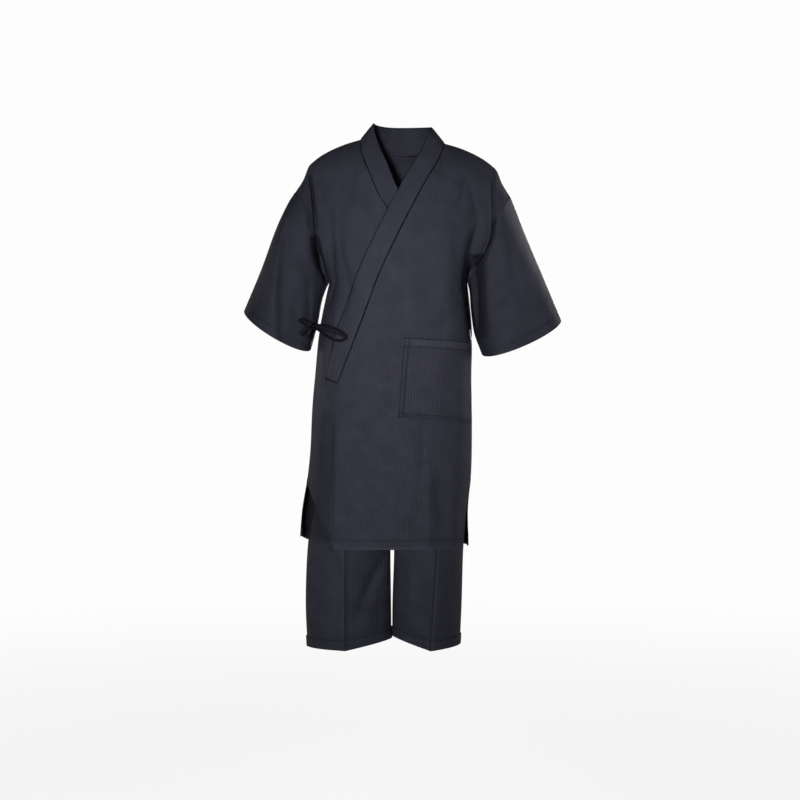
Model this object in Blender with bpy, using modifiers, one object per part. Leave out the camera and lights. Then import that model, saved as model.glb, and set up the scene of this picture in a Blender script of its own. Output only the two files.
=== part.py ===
"""Jinbei set: a wrap-over top with its ties, and short trousers, in the pose in which they are worn.

Metres, +Z up.  The front faces -Y and the wearer's left is +X.  The origin is between the two
points where the neck meets the shoulders.
"""
import bisect
import math
from collections import namedtuple

import bmesh
import bpy
from mathutils import Vector

# Thickness and clearance
CLOTH = 0.002           # one layer of the cotton with its turned edges
BAND = 0.003            # folded collar band
SEAM = 0.0005           # between two pieces at a seam
SIDE_GAP = 0.0016       # the same at a side seam, in turns of the cloth
BACK_HEM_RISE = 0.036   # share of the skirt by which the back's hem is pulled up at the right side
SHOULDER_GAP = 0.0030   # the same at a shoulder seam, in levels of the cloth
UNDER = 0.0055          # how far the right front lies inside the left one

# Heights
HEM_Z = -0.920
ARMPIT_Z = -0.325
VENT_Z = -0.765         # top of the side slits
WAIST_Z = -0.470        # top of the trouser panels
CROTCH_Z = -0.780
LEG_HEM_Z = -1.146

# Collar
COLLAR_WIDTH = 0.048
COLLAR_LIFT = 0.001     # how far the band stands out from the panels
LYING_SHARE = 0.96      # share of the band's width seen from the front where it lies on the chest
LOW_END_SHARE = 0.64    # the same share narrows to this where its low end turns round the side
LOW_END_Z = -0.566
LOW_END_FULL_Z = -0.448
LOW_END_SLANT = 0.80    # how much steeper than square the low end is cut
STAND_WAY = (0.62, 0.04, 0.78)  # inwards, back and up, where the band stands at the shoulder
NECK_BACK_Y = 0.072
NECK_TOP_BACK_Y = 0.060
NECK_TOP_Z = 0.037

# Armholes and sleeves
ARMHOLE_FRONT = 0.078
ARMHOLE_BACK = 0.072
CUFF_FRONT_DROP = 0.022
CUFF_BACK_DROP = 0.008

# Ties
TIE_WIDTH = 0.010
TIE_THICK = 0.0016

# Rows and columns of the panels; the rows of an armhole are also the columns of its sleeve
SKIRT_ROWS = 9
ARMHOLE_LEVELS = (0.0, 0.08, 0.20, 0.32, 0.44, 0.56, 0.68, 0.80, 0.90, 0.965, 1.0)
PANEL_ROWS = SKIRT_ROWS + len(ARMHOLE_LEVELS) - 1
SLEEVE_ROWS = 6
FRONT_LEFT_COLUMNS = 14
FRONT_RIGHT_COLUMNS = 12
BACK_SIDE_STEPS = 6     # columns of the back on each side of the neck
NECK_STEPS = 8          # columns of the back along the neck
LEG_COLUMNS = 20        # a column lies on each pressed crease
LEG_ROWS = 16
ALLOWANCE = 0.025       # share of a panel's width that its seam allowance takes

BODY_SQUARE = 2.4       # 2 is an ellipse, more is squarer
CHEST_SQUARE = 2.1
SHOULDER_BACK_SQUARE = 2.8
LEG_SQUARE = 2.3

Section = namedtuple("Section", "name z mid_x half_width front_y back_y")
TOP_SECTIONS = (
    Section("hem", HEM_Z, -0.042, 0.192, -0.126, 0.128),
    Section("vent", -0.840, -0.040, 0.188, -0.124, 0.130),
    Section("seat", -0.760, -0.030, 0.185, -0.122, 0.131),
    Section("hip", -0.700, -0.026, 0.183, -0.121, 0.128),
    Section("belly", -0.610, -0.024, 0.181, -0.121, 0.119),
    Section("waist", -0.540, -0.0215, 0.1775, -0.122, 0.110),
    Section("ribs", -0.430, -0.0155, 0.1725, -0.126, 0.107),
    Section("armpit", ARMPIT_Z, -0.010, 0.157, -0.125, 0.115),
)
HIP_SECTIONS = (
    Section("crotch", CROTCH_Z, -0.0243, 0.173, -0.104, 0.112),
    Section("seat", -0.740, -0.0243, 0.171, -0.105, 0.117),
    Section("hip", -0.660, -0.0240, 0.167, -0.105, 0.113),
    Section("belly", -0.560, -0.0220, 0.159, -0.101, 0.099),
    Section("waist", WAIST_Z, -0.0190, 0.147, -0.094, 0.088),
    Section("band", -0.425, -0.0170, 0.143, -0.090, 0.085),
)

# The shoulder line from the middle of the neck to the seam of the sleeve
Shoulder = namedtuple("Shoulder", "out drop")
SHOULDER_LINE = (
    Shoulder(0.0000, -0.012), Shoulder(0.0500, -0.006), Shoulder(0.0940, 0.004),
    Shoulder(0.1390, 0.018), Shoulder(0.1800, 0.038), Shoulder(0.2090, 0.060),
    Shoulder(0.2160, 0.071), Shoulder(0.2255, 0.095), Shoulder(0.2425, 0.123),
)
SHOULDER_TILT = 0.0045  # the left shoulder is lower than the right by twice this

# Sleeves: the upper and the under line of each section, and its half depth
SleeveRow = namedtuple("SleeveRow", "along top_x top_z under_x under_z half_depth mid_y")
RIGHT_SLEEVE = (
    SleeveRow(0.12, -0.2580, -0.1420, -0.1752, -0.3400, 0.077, 0.0),
    SleeveRow(0.34, -0.2848, -0.1982, -0.1835, -0.3662, 0.074, -0.002),
    SleeveRow(0.67, -0.3195, -0.2938, -0.1935, -0.4211, 0.073, -0.006),
    SleeveRow(1.00, -0.3585, -0.3887, -0.2080, -0.4747, 0.073, -0.010),
)
LEFT_SLEEVE = (
    SleeveRow(0.12, 0.2530, -0.1530, 0.1532, -0.3440, 0.077, 0.0),
    SleeveRow(0.34, 0.2770, -0.2150, 0.1560, -0.3850, 0.074, -0.002),
    SleeveRow(0.67, 0.3190, -0.3150, 0.1640, -0.4370, 0.073, -0.006),
    SleeveRow(1.00, 0.3583, -0.4095, 0.1799, -0.4860, 0.073, -0.010),
)

# Largest folds: soft troughs (negative depth) and ridges across the turn of the cloth.
# turn runs from -1 at the right side seam to 1 at the left one.
Fold = namedtuple("Fold", "turn lean low high width depth")
FRONT_FOLDS = (
    Fold(0.24, 0.03, -0.925, -0.640, 0.050, -0.0030),
    Fold(-0.28, -0.02, -0.925, -0.560, 0.060, -0.0025),
    Fold(0.80, -0.15, -0.420, -0.150, 0.070, -0.0060),
    Fold(-0.78, 0.14, -0.400, -0.140, 0.060, -0.0055),
    Fold(0.10, 0.55, -0.520, -0.330, 0.120, -0.0030),
)
BACK_FOLDS = (
    Fold(0.35, 0.05, -0.925, -0.560, 0.070, -0.0050),
    Fold(-0.40, -0.05, -0.925, -0.600, 0.080, -0.0050),
    Fold(0.78, -0.10, -0.480, -0.120, 0.070, -0.0080),
    Fold(-0.80, 0.10, -0.460, -0.120, 0.070, -0.0080),
    Fold(0.02, 0.04, -0.900, -0.640, 0.080, -0.0040),
)

# Collar seam on each front, from its low end to the shoulder, seen from the front.
# stand is 0 where the band lies on the cloth and 1 where it stands up at the neck.
SeamRow = namedtuple("SeamRow", "z x stand")
LEFT_SEAM = (
    SeamRow(-0.5539, -0.1449, 0.0), SeamRow(-0.4840, -0.1176, 0.0), SeamRow(-0.4149, -0.0904, 0.0),
    SeamRow(-0.3070, -0.0500, 0.0), SeamRow(-0.2356, -0.0161, 0.0), SeamRow(-0.1604, 0.0212, 0.0),
    SeamRow(-0.1024, 0.0523, 0.05), SeamRow(-0.0600, 0.0765, 0.30), SeamRow(-0.0300, 0.0895, 0.65),
    SeamRow(-0.0085, 0.0940, 1.0),
)
RIGHT_SEAM = (
    SeamRow(-0.5450, 0.1000, 0.0), SeamRow(-0.4140, 0.0600, 0.0), SeamRow(-0.3060, 0.0240, 0.0),
    SeamRow(-0.2340, -0.0060, 0.0), SeamRow(-0.1635, -0.0347, 0.0), SeamRow(-0.1343, -0.0533, 0.0),
    SeamRow(-0.0793, -0.0760, 0.10), SeamRow(-0.0450, -0.0900, 0.35), SeamRow(-0.0208, -0.0950, 0.70),
    SeamRow(0.0005, -0.0940, 1.0),
)

# Free front edges below the collar, seen from the front
EdgeRow = namedtuple("EdgeRow", "z x")
LEFT_EDGE = (
    EdgeRow(HEM_Z, -0.1500), EdgeRow(-0.9080, -0.1590), EdgeRow(-0.8660, -0.1630),
    EdgeRow(-0.7670, -0.1588), EdgeRow(-0.6790, -0.1522), EdgeRow(-0.5900, -0.1515),
    EdgeRow(-0.5539, -0.1449),
)
RIGHT_EDGE = (
    EdgeRow(HEM_Z, 0.1000), EdgeRow(-0.7600, 0.1050), EdgeRow(-0.5450, 0.1000),
)

# How far the loose side edges hang in from the side, in turns of the cloth
VentRow = namedtuple("VentRow", "z left right")
VENT_ROWS = (
    VentRow(HEM_Z, 0.70, 0.42), VentRow(-0.880, 0.74, 0.50), VentRow(-0.840, 0.80, 0.64),
    VentRow(-0.800, 0.88, 0.80), VentRow(VENT_Z, 1.0, 1.0), VentRow(ARMPIT_Z, 1.0, 1.0),
)

# Pocket corners on the left front
PocketRow = namedtuple("PocketRow", "z_inner z_outer turn_inner turn_outer")
POCKET_TOP = PocketRow(-0.4520, -0.4620, 0.068, 0.800)
POCKET_FOOT = PocketRow(-0.6290, -0.6440, 0.042, 0.800)
POCKET_LIFT = 0.0009
POCKET_GAPE = 0.0015

# Trouser legs below the crotch: inner and outer x of each section, and how far its pressed
# crease lies outside the middle, as a share of the half width
LegRow = namedtuple("LegRow", "z inner outer front_y back_y crease")
RIGHT_LEG = (
    LegRow(LEG_HEM_Z, -0.0256, -0.2160, -0.092, 0.082, 0.06),
    LegRow(-1.050, -0.0262, -0.2200, -0.092, 0.086, 0.05),
    LegRow(-0.930, -0.0275, -0.2160, -0.092, 0.092, 0.04),
    LegRow(-0.850, -0.0262, -0.2060, -0.090, 0.094, 0.02),
    LegRow(CROTCH_Z, -0.0250, -0.1940, -0.086, 0.094, 0.00),
)
LEFT_LEG = (
    LegRow(LEG_HEM_Z, -0.0236, 0.1300, -0.096, 0.086, 0.11),
    LegRow(-1.050, -0.0232, 0.1340, -0.095, 0.088, 0.16),
    LegRow(-0.930, -0.0195, 0.1375, -0.092, 0.092, 0.24),
    LegRow(-0.850, -0.0215, 0.1430, -0.090, 0.094, 0.14),
    LegRow(CROTCH_Z, -0.0236, 0.1440, -0.086, 0.094, 0.00),
)
CROTCH_ROUND = 0.110    # height over which the centre seam curves under
CREASE_FULL_Z = -0.950  # below this the legs are pressed to a crease at front and back
CREASE_POWER = 1.6      # how sharp the pressed crease is; 1 is round
HemRise = namedtuple("HemRise", "inner outer")
RIGHT_HEM_RISE = HemRise(0.018, 0.000)  # the hem is lowest at the crease
LEFT_HEM_RISE = HemRise(0.024, 0.006)
HEM_RISE_REACH = 0.100

# Ties: routes chosen by hand, from the seam to the knot
KNOT_AT = Vector((-0.2075, -0.0780, -0.4210))
KNOT_SIZE = Vector((0.0080, 0.0070, 0.0085))
TIE_FRONT_ROUTE = (
    (-0.1270, -0.1125, -0.4480), (-0.1400, -0.1125, -0.4420), (-0.1600, -0.1075, -0.4360),
    (-0.1780, -0.0970, -0.4290), (-0.1980, -0.0820, -0.4220),
)
TIE_SIDE_ROUTE = (
    (-0.1845, -0.0480, -0.4330), (-0.1900, -0.0570, -0.4310), (-0.1960, -0.0650, -0.4280),
    (-0.2010, -0.0715, -0.4255),
)
LOOP_UPPER_ROUTE = (
    (-0.2120, -0.0880, -0.4165), (-0.2180, -0.0930, -0.4110), (-0.2250, -0.0930, -0.4090),
    (-0.2290, -0.0880, -0.4135), (-0.2250, -0.0830, -0.4185), (-0.2180, -0.0800, -0.4205),
)
LOOP_LOWER_ROUTE = (
    (-0.1985, -0.0890, -0.4225), (-0.1860, -0.1000, -0.4235), (-0.1680, -0.1115, -0.4265),
    (-0.1480, -0.1200, -0.4330), (-0.1310, -0.1240, -0.4430), (-0.1260, -0.1240, -0.4510),
    (-0.1330, -0.1240, -0.4580), (-0.1490, -0.1215, -0.4585), (-0.1660, -0.1150, -0.4500),
    (-0.1820, -0.1050, -0.4380), (-0.1980, -0.0920, -0.4290),
)
TAIL_LEFT_ROUTE = (
    (-0.2135, -0.0810, -0.4290), (-0.2180, -0.0830, -0.4335), (-0.2230, -0.0840, -0.4380),
    (-0.2280, -0.0835, -0.4430),
)
TAIL_RIGHT_ROUTE = (
    (-0.2060, -0.0865, -0.4300), (-0.2075, -0.0890, -0.4370), (-0.2110, -0.0895, -0.4440),
    (-0.2160, -0.0890, -0.4500),
)

# Colours
CHARCOAL = (0.0095, 0.0100, 0.0125, 1.0)
CHARCOAL_BAND = (0.0085, 0.0090, 0.0110, 1.0)
BLACK_TIE = (0.0050, 0.0050, 0.0065, 1.0)


def column(rows, name):
    """One named column of a table."""
    return [getattr(row, name) for row in rows]


def smooth(keys, values, key):
    """The value at a key on a smooth curve through the rising keys and their values."""
    key = min(max(key, keys[0]), keys[-1])
    i = max(0, min(bisect.bisect_right(keys, key) - 1, len(keys) - 2))
    step = keys[i + 1] - keys[i]
    s = (key - keys[i]) / step

    def slope(j):
        before, after = max(j - 1, 0), min(j + 1, len(keys) - 1)
        return (values[after] - values[before]) / (keys[after] - keys[before])

    start = (2 * s ** 3 - 3 * s ** 2 + 1) * values[i] + (s ** 3 - 2 * s ** 2 + s) * step * slope(i)
    end = (3 * s ** 2 - 2 * s ** 3) * values[i + 1] + (s ** 3 - s ** 2) * step * slope(i + 1)
    return start + end


def read(rows, key, at, name):
    """A column of a table where its key column reaches a value."""
    return smooth(column(rows, key), column(rows, name), at)


def blend(a, b, weight):
    return a + (b - a) * weight


def ease(low, high, value):
    """0 below low, 1 above high and smooth between."""
    s = min(max((value - low) / (high - low), 0.0), 1.0)
    return s * s * (3 - 2 * s)


def squircle(angle, square):
    """Sine and cosine of an angle, on a rounded square of half width 1."""
    s, c = math.sin(angle), math.cos(angle)
    reach = (abs(s) ** square + abs(c) ** square) ** (-1 / square)
    return s * reach, c * reach


def route_lengths(points):
    """Distance along a route at each of its points."""
    total = [0.0]
    for a, b in zip(points, points[1:]):
        total.append(total[-1] + (Vector(b) - Vector(a)).length)
    return total


SHOULDER_RUN = route_lengths([(row.out, row.drop, 0) for row in SHOULDER_LINE])
SHOULDER_TURNS = [run / SHOULDER_RUN[-1] for run in SHOULDER_RUN]
NECK_TURN = SHOULDER_TURNS[2]


def shoulder_point(turn):
    """A point on the line over both shoulders."""
    out = smooth(SHOULDER_TURNS, column(SHOULDER_LINE, "out"), abs(turn))
    drop = smooth(SHOULDER_TURNS, column(SHOULDER_LINE, "drop"), abs(turn))
    tilt = SHOULDER_TILT * min(1.0, abs(turn) / NECK_TURN)
    return Vector((math.copysign(out, turn), 0.0, -drop - math.copysign(tilt, turn)))


def armhole_rise(level):
    """Share of an armhole's height at a level: a point under the arm and round over the shoulder."""
    return ((1 - math.cos(math.pi * level)) / 2 + math.sin(math.pi * level / 2)) / 2


def ring_point(sections, face, z, turn):
    """A point at a height, from the right side seam (turn -1) round the front or back to the left."""
    across, deep = squircle(turn * math.pi / 2, BODY_SQUARE)
    x = read(sections, "z", z, "mid_x") + read(sections, "z", z, "half_width") * across
    return Vector((x, read(sections, "z", z, face + "_y") * deep, z))


def fold_depth(folds, turn, z):
    """Sum of the folds at a place on the cloth."""
    total = 0.0
    for fold in folds:
        along = (z - fold.low) / (fold.high - fold.low)
        if 0 < along < 1:
            across = (turn - fold.turn - fold.lean * along) / fold.width
            total += fold.depth * math.exp(-across * across) * math.sin(math.pi * along) ** 0.6
    return total


def top_point(face, level, turn):
    """A point on the top's outer form.

    level runs from -1 at the hem to 0 at the armpits and 1 on the shoulder line.
    """
    front = face == "front"
    if level <= 0:
        point = ring_point(TOP_SECTIONS, face, ARMPIT_Z + level * (ARMPIT_Z - HEM_Z), turn)
    else:
        low = ring_point(TOP_SECTIONS, face, ARMPIT_Z, turn)
        high = shoulder_point(turn)
        up, out = squircle(level * math.pi / 2, CHEST_SQUARE if front else SHOULDER_BACK_SQUARE)
        edge = turn ** 4
        rise = blend(up, armhole_rise(level), edge)
        bulge = (-ARMHOLE_FRONT if front else ARMHOLE_BACK) * edge * math.sin(math.pi * level)
        point = Vector((blend(low.x, high.x, rise), blend(high.y, low.y, out) + bulge,
                        blend(low.z, high.z, rise)))
    outward = Vector((math.sin(turn * math.pi / 2), (-1 if front else 1) * math.cos(turn * math.pi / 2), 0))
    return point + outward * fold_depth(FRONT_FOLDS if front else BACK_FOLDS, turn, point.z)


def top_normal(face, level, turn):
    """Outward direction of the top's form."""
    small = 0.004
    low, high = max(level - small, -1.0), min(level + small, 1.0)
    left, right = max(turn - small, -1.0), min(turn + small, 1.0)
    up = top_point(face, high, turn) - top_point(face, low, turn)
    across = top_point(face, level, right) - top_point(face, level, left)
    normal = across.cross(up) if face == "front" else up.cross(across)
    return normal.normalized()


def lifted(face, level, turn, lift):
    """A point of the top's form, moved out by lift."""
    return top_point(face, level, turn) + top_normal(face, level, turn) * lift


def halve(low, high, too_low, steps=22):
    """Where a test turns from true to false between two values."""
    for _ in range(steps):
        middle = (low + high) / 2
        if too_low(middle):
            low = middle
        else:
            high = middle
    return (low + high) / 2


def level_at(turn, z):
    """Level at which the front reaches a height."""
    if z <= ARMPIT_Z:
        return max((z - ARMPIT_Z) / (ARMPIT_Z - HEM_Z), -1.0)
    return halve(0.0, 1.0, lambda level: top_point("front", level, turn).z < z)


def turn_at(x, z):
    """Turn at which the front reaches a place seen from the front."""
    return halve(-1.0, 1.0, lambda turn: top_point("front", level_at(turn, z), turn).x < x)


def on_front(x, z, lift):
    """The point of the front at a place seen from the front, moved out by lift."""
    turn = turn_at(x, z)
    return lifted("front", level_at(turn, z), turn, lift)


def cloth(name, columns, rows, place, colour, thickness=CLOTH, closed=False):
    """A wall of cloth: a grid laid on place(across, along), both 0 to 1, and thickened inwards."""
    mesh = bpy.data.meshes.new(name)
    grid = bmesh.new()
    bmesh.ops.create_grid(grid, x_segments=columns, y_segments=rows, size=0.5)
    for vertex in grid.verts:
        vertex.co = place(vertex.co.x + 0.5, vertex.co.y + 0.5)
    if closed:
        bmesh.ops.remove_doubles(grid, verts=grid.verts, dist=0.00002)
    grid.to_mesh(mesh)
    grid.free()
    piece = add_piece(name, mesh, colour)
    wall = piece.modifiers.new("Wall", "SOLIDIFY")
    wall.thickness = thickness
    wall.offset = -1
    return piece


def add_piece(name, mesh, colour):
    """An object with its own material in the garment's collection."""
    material = bpy.data.materials.new(name)
    material.use_nodes = True
    shader = material.node_tree.nodes["Principled BSDF"]
    shader.inputs["Base Color"].default_value = colour
    shader.inputs["Roughness"].default_value = 0.85
    shader.inputs["Metallic"].default_value = 0.0
    mesh.materials.append(material)
    mesh.shade_smooth()
    piece = bpy.data.objects.new(name, mesh)
    bpy.data.collections["Jinbei set"].objects.link(piece)
    return piece


def panel_level(along, top=1.0):
    """Levels of the rows: even in the skirt, then those of the armhole, up to a top level."""
    row = round(along * PANEL_ROWS)
    if row <= SKIRT_ROWS:
        return -1 + row / SKIRT_ROWS
    return top * ARMHOLE_LEVELS[row - SKIRT_ROWS]


def edged(across, columns):
    """Even columns, but for a narrow one along each side for the seam allowance."""
    column_number = round(across * columns)
    if column_number in (0, columns):
        return across
    return ALLOWANCE + (1 - 2 * ALLOWANCE) * (column_number - 1) / (columns - 2)


def seam_x(seam, edge, z):
    """Inner boundary of a front: its free edge, then its collar seam."""
    if z < seam[0].z:
        return read(edge, "z", z, "x")
    return read(seam, "z", z, "x")


def inner_turn(seam, edge, level, gap):
    """Turn at which a row of a front reaches its inner boundary."""
    def before(turn):
        point = top_point("front", level, turn)
        return point.x < seam_x(seam, edge, point.z) + gap
    return halve(-0.999, 0.999, before)


def vent_turn(level, name):
    """Turn of the side edge of a row, which hangs in beside the slit."""
    if level > 0:
        return 1.0
    return min(read(VENT_ROWS, "z", ARMPIT_Z + level * (ARMPIT_Z - HEM_Z), name), 1.0)


def tuck(z):
    """How far the right front's edge and collar lie inside the left ones at a height."""
    return -UNDER * (1 - ease(-0.115, -0.060, z))


def under_lift(level, turn):
    """Place of the right front's cloth inside the left one's."""
    return tuck(top_point("front", level, turn).z) * ease(-0.97, -0.80, turn)


def make_front_left():
    def place(across, along):
        level = panel_level(along, 1 - SHOULDER_GAP)
        inner = inner_turn(LEFT_SEAM, LEFT_EDGE, level, SEAM * 1.2)
        outer = vent_turn(level, "left") - SIDE_GAP
        return lifted("front", level, blend(inner, outer, edged(across, FRONT_LEFT_COLUMNS)), 0.0)
    return cloth("front_left", FRONT_LEFT_COLUMNS, PANEL_ROWS, place, CHARCOAL)


def make_front_right():
    def place(across, along):
        level = panel_level(along, 1 - SHOULDER_GAP)
        inner = inner_turn(RIGHT_SEAM, RIGHT_EDGE, level, -SEAM * 1.2)
        outer = -vent_turn(level, "right") + SIDE_GAP
        turn = blend(outer, inner, edged(across, FRONT_RIGHT_COLUMNS))
        return lifted("front", level, turn, under_lift(level, turn))
    return cloth("front_right", FRONT_RIGHT_COLUMNS, PANEL_ROWS, place, CHARCOAL)


def back_neck_level(turn):
    """Level at which the back meets the collar seam."""
    if abs(turn) > NECK_TURN - 1e-6:
        return 1.0
    reach = turn / NECK_TURN
    y = NECK_BACK_Y * math.sqrt(1 - reach * reach)
    return halve(0.3, 1.0, lambda level: top_point("back", level, turn).y > y)


def back_turns():
    """Turns of the back's columns, from the left side to the right; one is at each end of the neck."""
    spread = [NECK_TURN + (1 - SIDE_GAP - NECK_TURN) * step / BACK_SIDE_STEPS
              for step in range(1, BACK_SIDE_STEPS)]
    side = [1 - SIDE_GAP, 1 - SIDE_GAP - ALLOWANCE] + spread[::-1]
    neck = [NECK_TURN * math.cos(math.pi * step / NECK_STEPS) for step in range(NECK_STEPS + 1)]
    return side + neck + [-turn for turn in reversed(side)]


def make_back():
    turns = back_turns()
    columns = len(turns) - 1

    def place(across, along):
        turn = turns[round(across * columns)]
        level = panel_level(along, back_neck_level(turn) - SHOULDER_GAP)
        if level < 0:
            level *= 1 - BACK_HEM_RISE * ease(0.45, 1.0, -turn)
        return lifted("back", level, turn, 0.0)
    return cloth("back", columns, PANEL_ROWS, place, CHARCOAL)


def sleeve_point(rows, side, along, around):
    """A point of a sleeve; around runs 0 to 1 from the top, by the front, under and up the back."""
    notch = shoulder_point(side)
    armpit = ring_point(TOP_SECTIONS, "front", ARMPIT_Z, side)
    seam = SleeveRow(0.0, notch.x, notch.z, armpit.x, armpit.z, ARMHOLE_FRONT, 0.0)
    table = (seam,) + rows
    angle = around * 2 * math.pi
    top = Vector((read(table, "along", along, "top_x"), 0, read(table, "along", along, "top_z")))
    under = Vector((read(table, "along", along, "under_x"), 0, read(table, "along", along, "under_z")))
    front = math.sin(angle) > 0
    depth = read(table, "along", along, "half_depth")
    if not front:
        depth = blend(ARMHOLE_BACK, depth, along)
    drop = (CUFF_FRONT_DROP if front else CUFF_BACK_DROP) * along * abs(math.sin(angle))
    level = abs(1 - 2 * around)
    point = under.lerp(top, blend(armhole_rise(level), (1 + math.cos(angle)) / 2, along))
    point.y = read(table, "along", along, "mid_y") - depth * math.sin(angle)
    point.z -= drop
    return point


def make_sleeve(name, rows, side):
    stops = [(1 - level) / 2 for level in reversed(ARMHOLE_LEVELS)]
    stops += [1 - stop for stop in reversed(stops[:-1])]
    columns = len(stops) - 1

    def place(across, along):
        around = stops[round(across * columns)]
        point = sleeve_point(rows, side, along, around if side < 0 else 1 - around)
        under_arm = 1 - abs(1 - 2 * around)
        if along < 0.001:
            point += Vector((side * 0.86, 0, -0.5)) * SEAM * blend(1.8, 5.0, under_arm ** 3)
        return point
    return cloth(name, columns, SLEEVE_ROWS, place, CHARCOAL, closed=True)


def panel_rows(top):
    """Level of each row of a panel."""
    return [panel_level(row / PANEL_ROWS, top) for row in range(PANEL_ROWS + 1)]


def chest_sections(seam, edge, side, lift_at):
    """Sections of the band on one front, from its low end to the shoulder, at the panel's rows.

    Each is a function from the seam (0) to the free edge (1).
    """
    low = (seam[0].z - ARMPIT_Z) / (ARMPIT_Z - HEM_Z)
    levels = [low] + [level for level in panel_rows(1 - SHOULDER_GAP) if level > low + 0.01]

    def section(level):
        turn = inner_turn(seam, edge, level, 0.0)
        foot = top_point("front", level, turn)
        stand = ease(0.0, 1.0, read(seam, "z", foot.z, "stand"))
        full = ease(LOW_END_Z, LOW_END_FULL_Z, foot.z)
        lying = LYING_SHARE * blend(LOW_END_SHARE, 1.0, full)
        lift = lift_at(foot.z)
        start = lifted("front", level, turn, lift)
        slope = (read(seam, "z", foot.z + 0.01, "x") - read(seam, "z", foot.z - 0.01, "x")) / 0.02
        slope = slope * (1 + LOW_END_SLANT * (1 - full))
        sideways = Vector((-side, 0, slope * side)).normalized()

        def place(across):
            reach = COLLAR_WIDTH * across
            flat = foot + sideways * reach * lying
            upright = start + Vector((-side * STAND_WAY[0], STAND_WAY[1], STAND_WAY[2])) * reach
            if stand > 0.999:
                return upright
            return on_front(flat.x, flat.z, lift).lerp(upright, stand)
        return place

    return [section(level) for level in levels]


def neck_sections(left_end, right_end):
    """Sections of the band round the back of the neck, at the columns of the back."""
    def section(angle):
        turn = NECK_TURN * math.cos(angle)
        share = (1 - math.cos(angle)) / 2
        seam = lifted("back", back_neck_level(turn), turn, COLLAR_LIFT)
        top = left_end(1.0).lerp(right_end(1.0), share)
        top.y += NECK_TOP_BACK_Y * math.sin(angle)
        top.z = blend(top.z, NECK_TOP_Z, math.sin(angle))
        return lambda across: seam.lerp(top, across)

    return [section(math.pi * step / NECK_STEPS) for step in range(1, NECK_STEPS)]


def make_collar():
    """One folded band: up the left front, round the neck and down the right front, under the left."""
    left = chest_sections(LEFT_SEAM, LEFT_EDGE, 1, lambda z: COLLAR_LIFT)
    right = chest_sections(RIGHT_SEAM, RIGHT_EDGE, -1, lambda z: COLLAR_LIFT + tuck(z))
    sections = left + neck_sections(left[-1], right[-1]) + right[::-1]
    rows = len(sections) - 1

    def place(across, along):
        return sections[round(along * rows)](1 - across)

    return cloth("collar", 2, rows, place, CHARCOAL_BAND, BAND)


def make_pocket():
    def place(across, along):
        z = blend(blend(POCKET_FOOT.z_inner, POCKET_FOOT.z_outer, across),
                  blend(POCKET_TOP.z_inner, POCKET_TOP.z_outer, across), along)
        turn = blend(blend(POCKET_FOOT.turn_inner, POCKET_FOOT.turn_outer, across),
                     blend(POCKET_TOP.turn_inner, POCKET_TOP.turn_outer, across), along)
        gape = POCKET_GAPE * ease(0.5, 1.0, along) * math.sin(math.pi * across)
        return lifted("front", level_at(turn, z), turn, POCKET_LIFT + CLOTH + gape)
    return cloth("pocket", 8, 5, place, CHARCOAL)


def hip_arc(side, z, around):
    """Half of the hips at a height: from the centre front by the side to the centre back."""
    angle = math.pi * around
    across, deep = squircle(angle, BODY_SQUARE)
    mid = read(HIP_SECTIONS, "z", z, "mid_x")
    y = read(HIP_SECTIONS, "z", z, "front_y" if deep > 0 else "back_y") * abs(deep)
    x = mid + side * (SEAM / 2 + (read(HIP_SECTIONS, "z", z, "half_width") - SEAM / 2) * abs(across))
    return Vector((x, y, z))


def power(value, exponent):
    """A power that keeps its sign."""
    return math.copysign(abs(value) ** exponent, value)


def leg_ring(rows, z, around):
    """A closed section of a leg: from the inseam by the front, the outer side and the back."""
    inner, outer = read(rows, "z", z, "inner"), read(rows, "z", z, "outer")
    middle, half = (inner + outer) / 2, (inner - outer) / 2
    pressed = 1 - ease(CREASE_FULL_Z, CROTCH_Z, z)
    round_power = 2 / LEG_SQUARE
    angle = 2 * math.pi * around
    across = power(math.cos(angle), blend(round_power, CREASE_POWER, pressed))
    deep = power(math.sin(angle), blend(round_power, 1.0, pressed))
    y = read(rows, "z", z, "front_y" if deep > 0 else "back_y") * abs(deep)
    shift = read(rows, "z", z, "crease") * (1 - across * across)
    return Vector((middle + half * (across - shift), y, z))


def hem_rise(rise, around, z):
    """How far the hem's rise lifts a place on a leg."""
    across = power(math.cos(2 * math.pi * around), CREASE_POWER)
    near_hem = 1 - ease(LEG_HEM_Z, LEG_HEM_Z + HEM_RISE_REACH, z)
    return near_hem * (rise.inner if across > 0 else rise.outer) * abs(across)


def make_leg(name, rows, rise, side):
    low_share = 0.5

    def place(across, along):
        around = across if side > 0 else 1 - across
        if along < low_share:
            z = blend(LEG_HEM_Z, CROTCH_Z, along / low_share)
            point = leg_ring(rows, z, around)
            point.z += hem_rise(rise, around, z)
            return point
        climb = (along - low_share) / (1 - low_share)
        z = blend(CROTCH_Z, WAIST_Z, climb ** 1.5)
        s = min((z - CROTCH_Z) / CROTCH_ROUND, 1.0)
        closing = 1 - math.sqrt(1 - (1 - s) ** 2)
        upper = hip_arc(side, z, around)
        lower = leg_ring(rows, CROTCH_Z, around)
        point = upper.lerp(lower, closing)
        point.z = z
        return point

    return cloth(name, LEG_COLUMNS, LEG_ROWS, place, CHARCOAL, closed=True)


def make_waistband():
    def place(across, along):
        z = blend(WAIST_Z + SEAM, WAIST_Z + 0.040, along)
        angle = 2 * math.pi * across
        reach, deep = squircle(angle, BODY_SQUARE)
        mid = read(HIP_SECTIONS, "z", z, "mid_x")
        half = read(HIP_SECTIONS, "z", z, "half_width")
        y = read(HIP_SECTIONS, "z", z, "front_y" if deep > 0 else "back_y") * abs(deep)
        return Vector((mid + half * reach, y, z))
    return cloth("waistband", 24, 1, place, CHARCOAL, closed=True)


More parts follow.
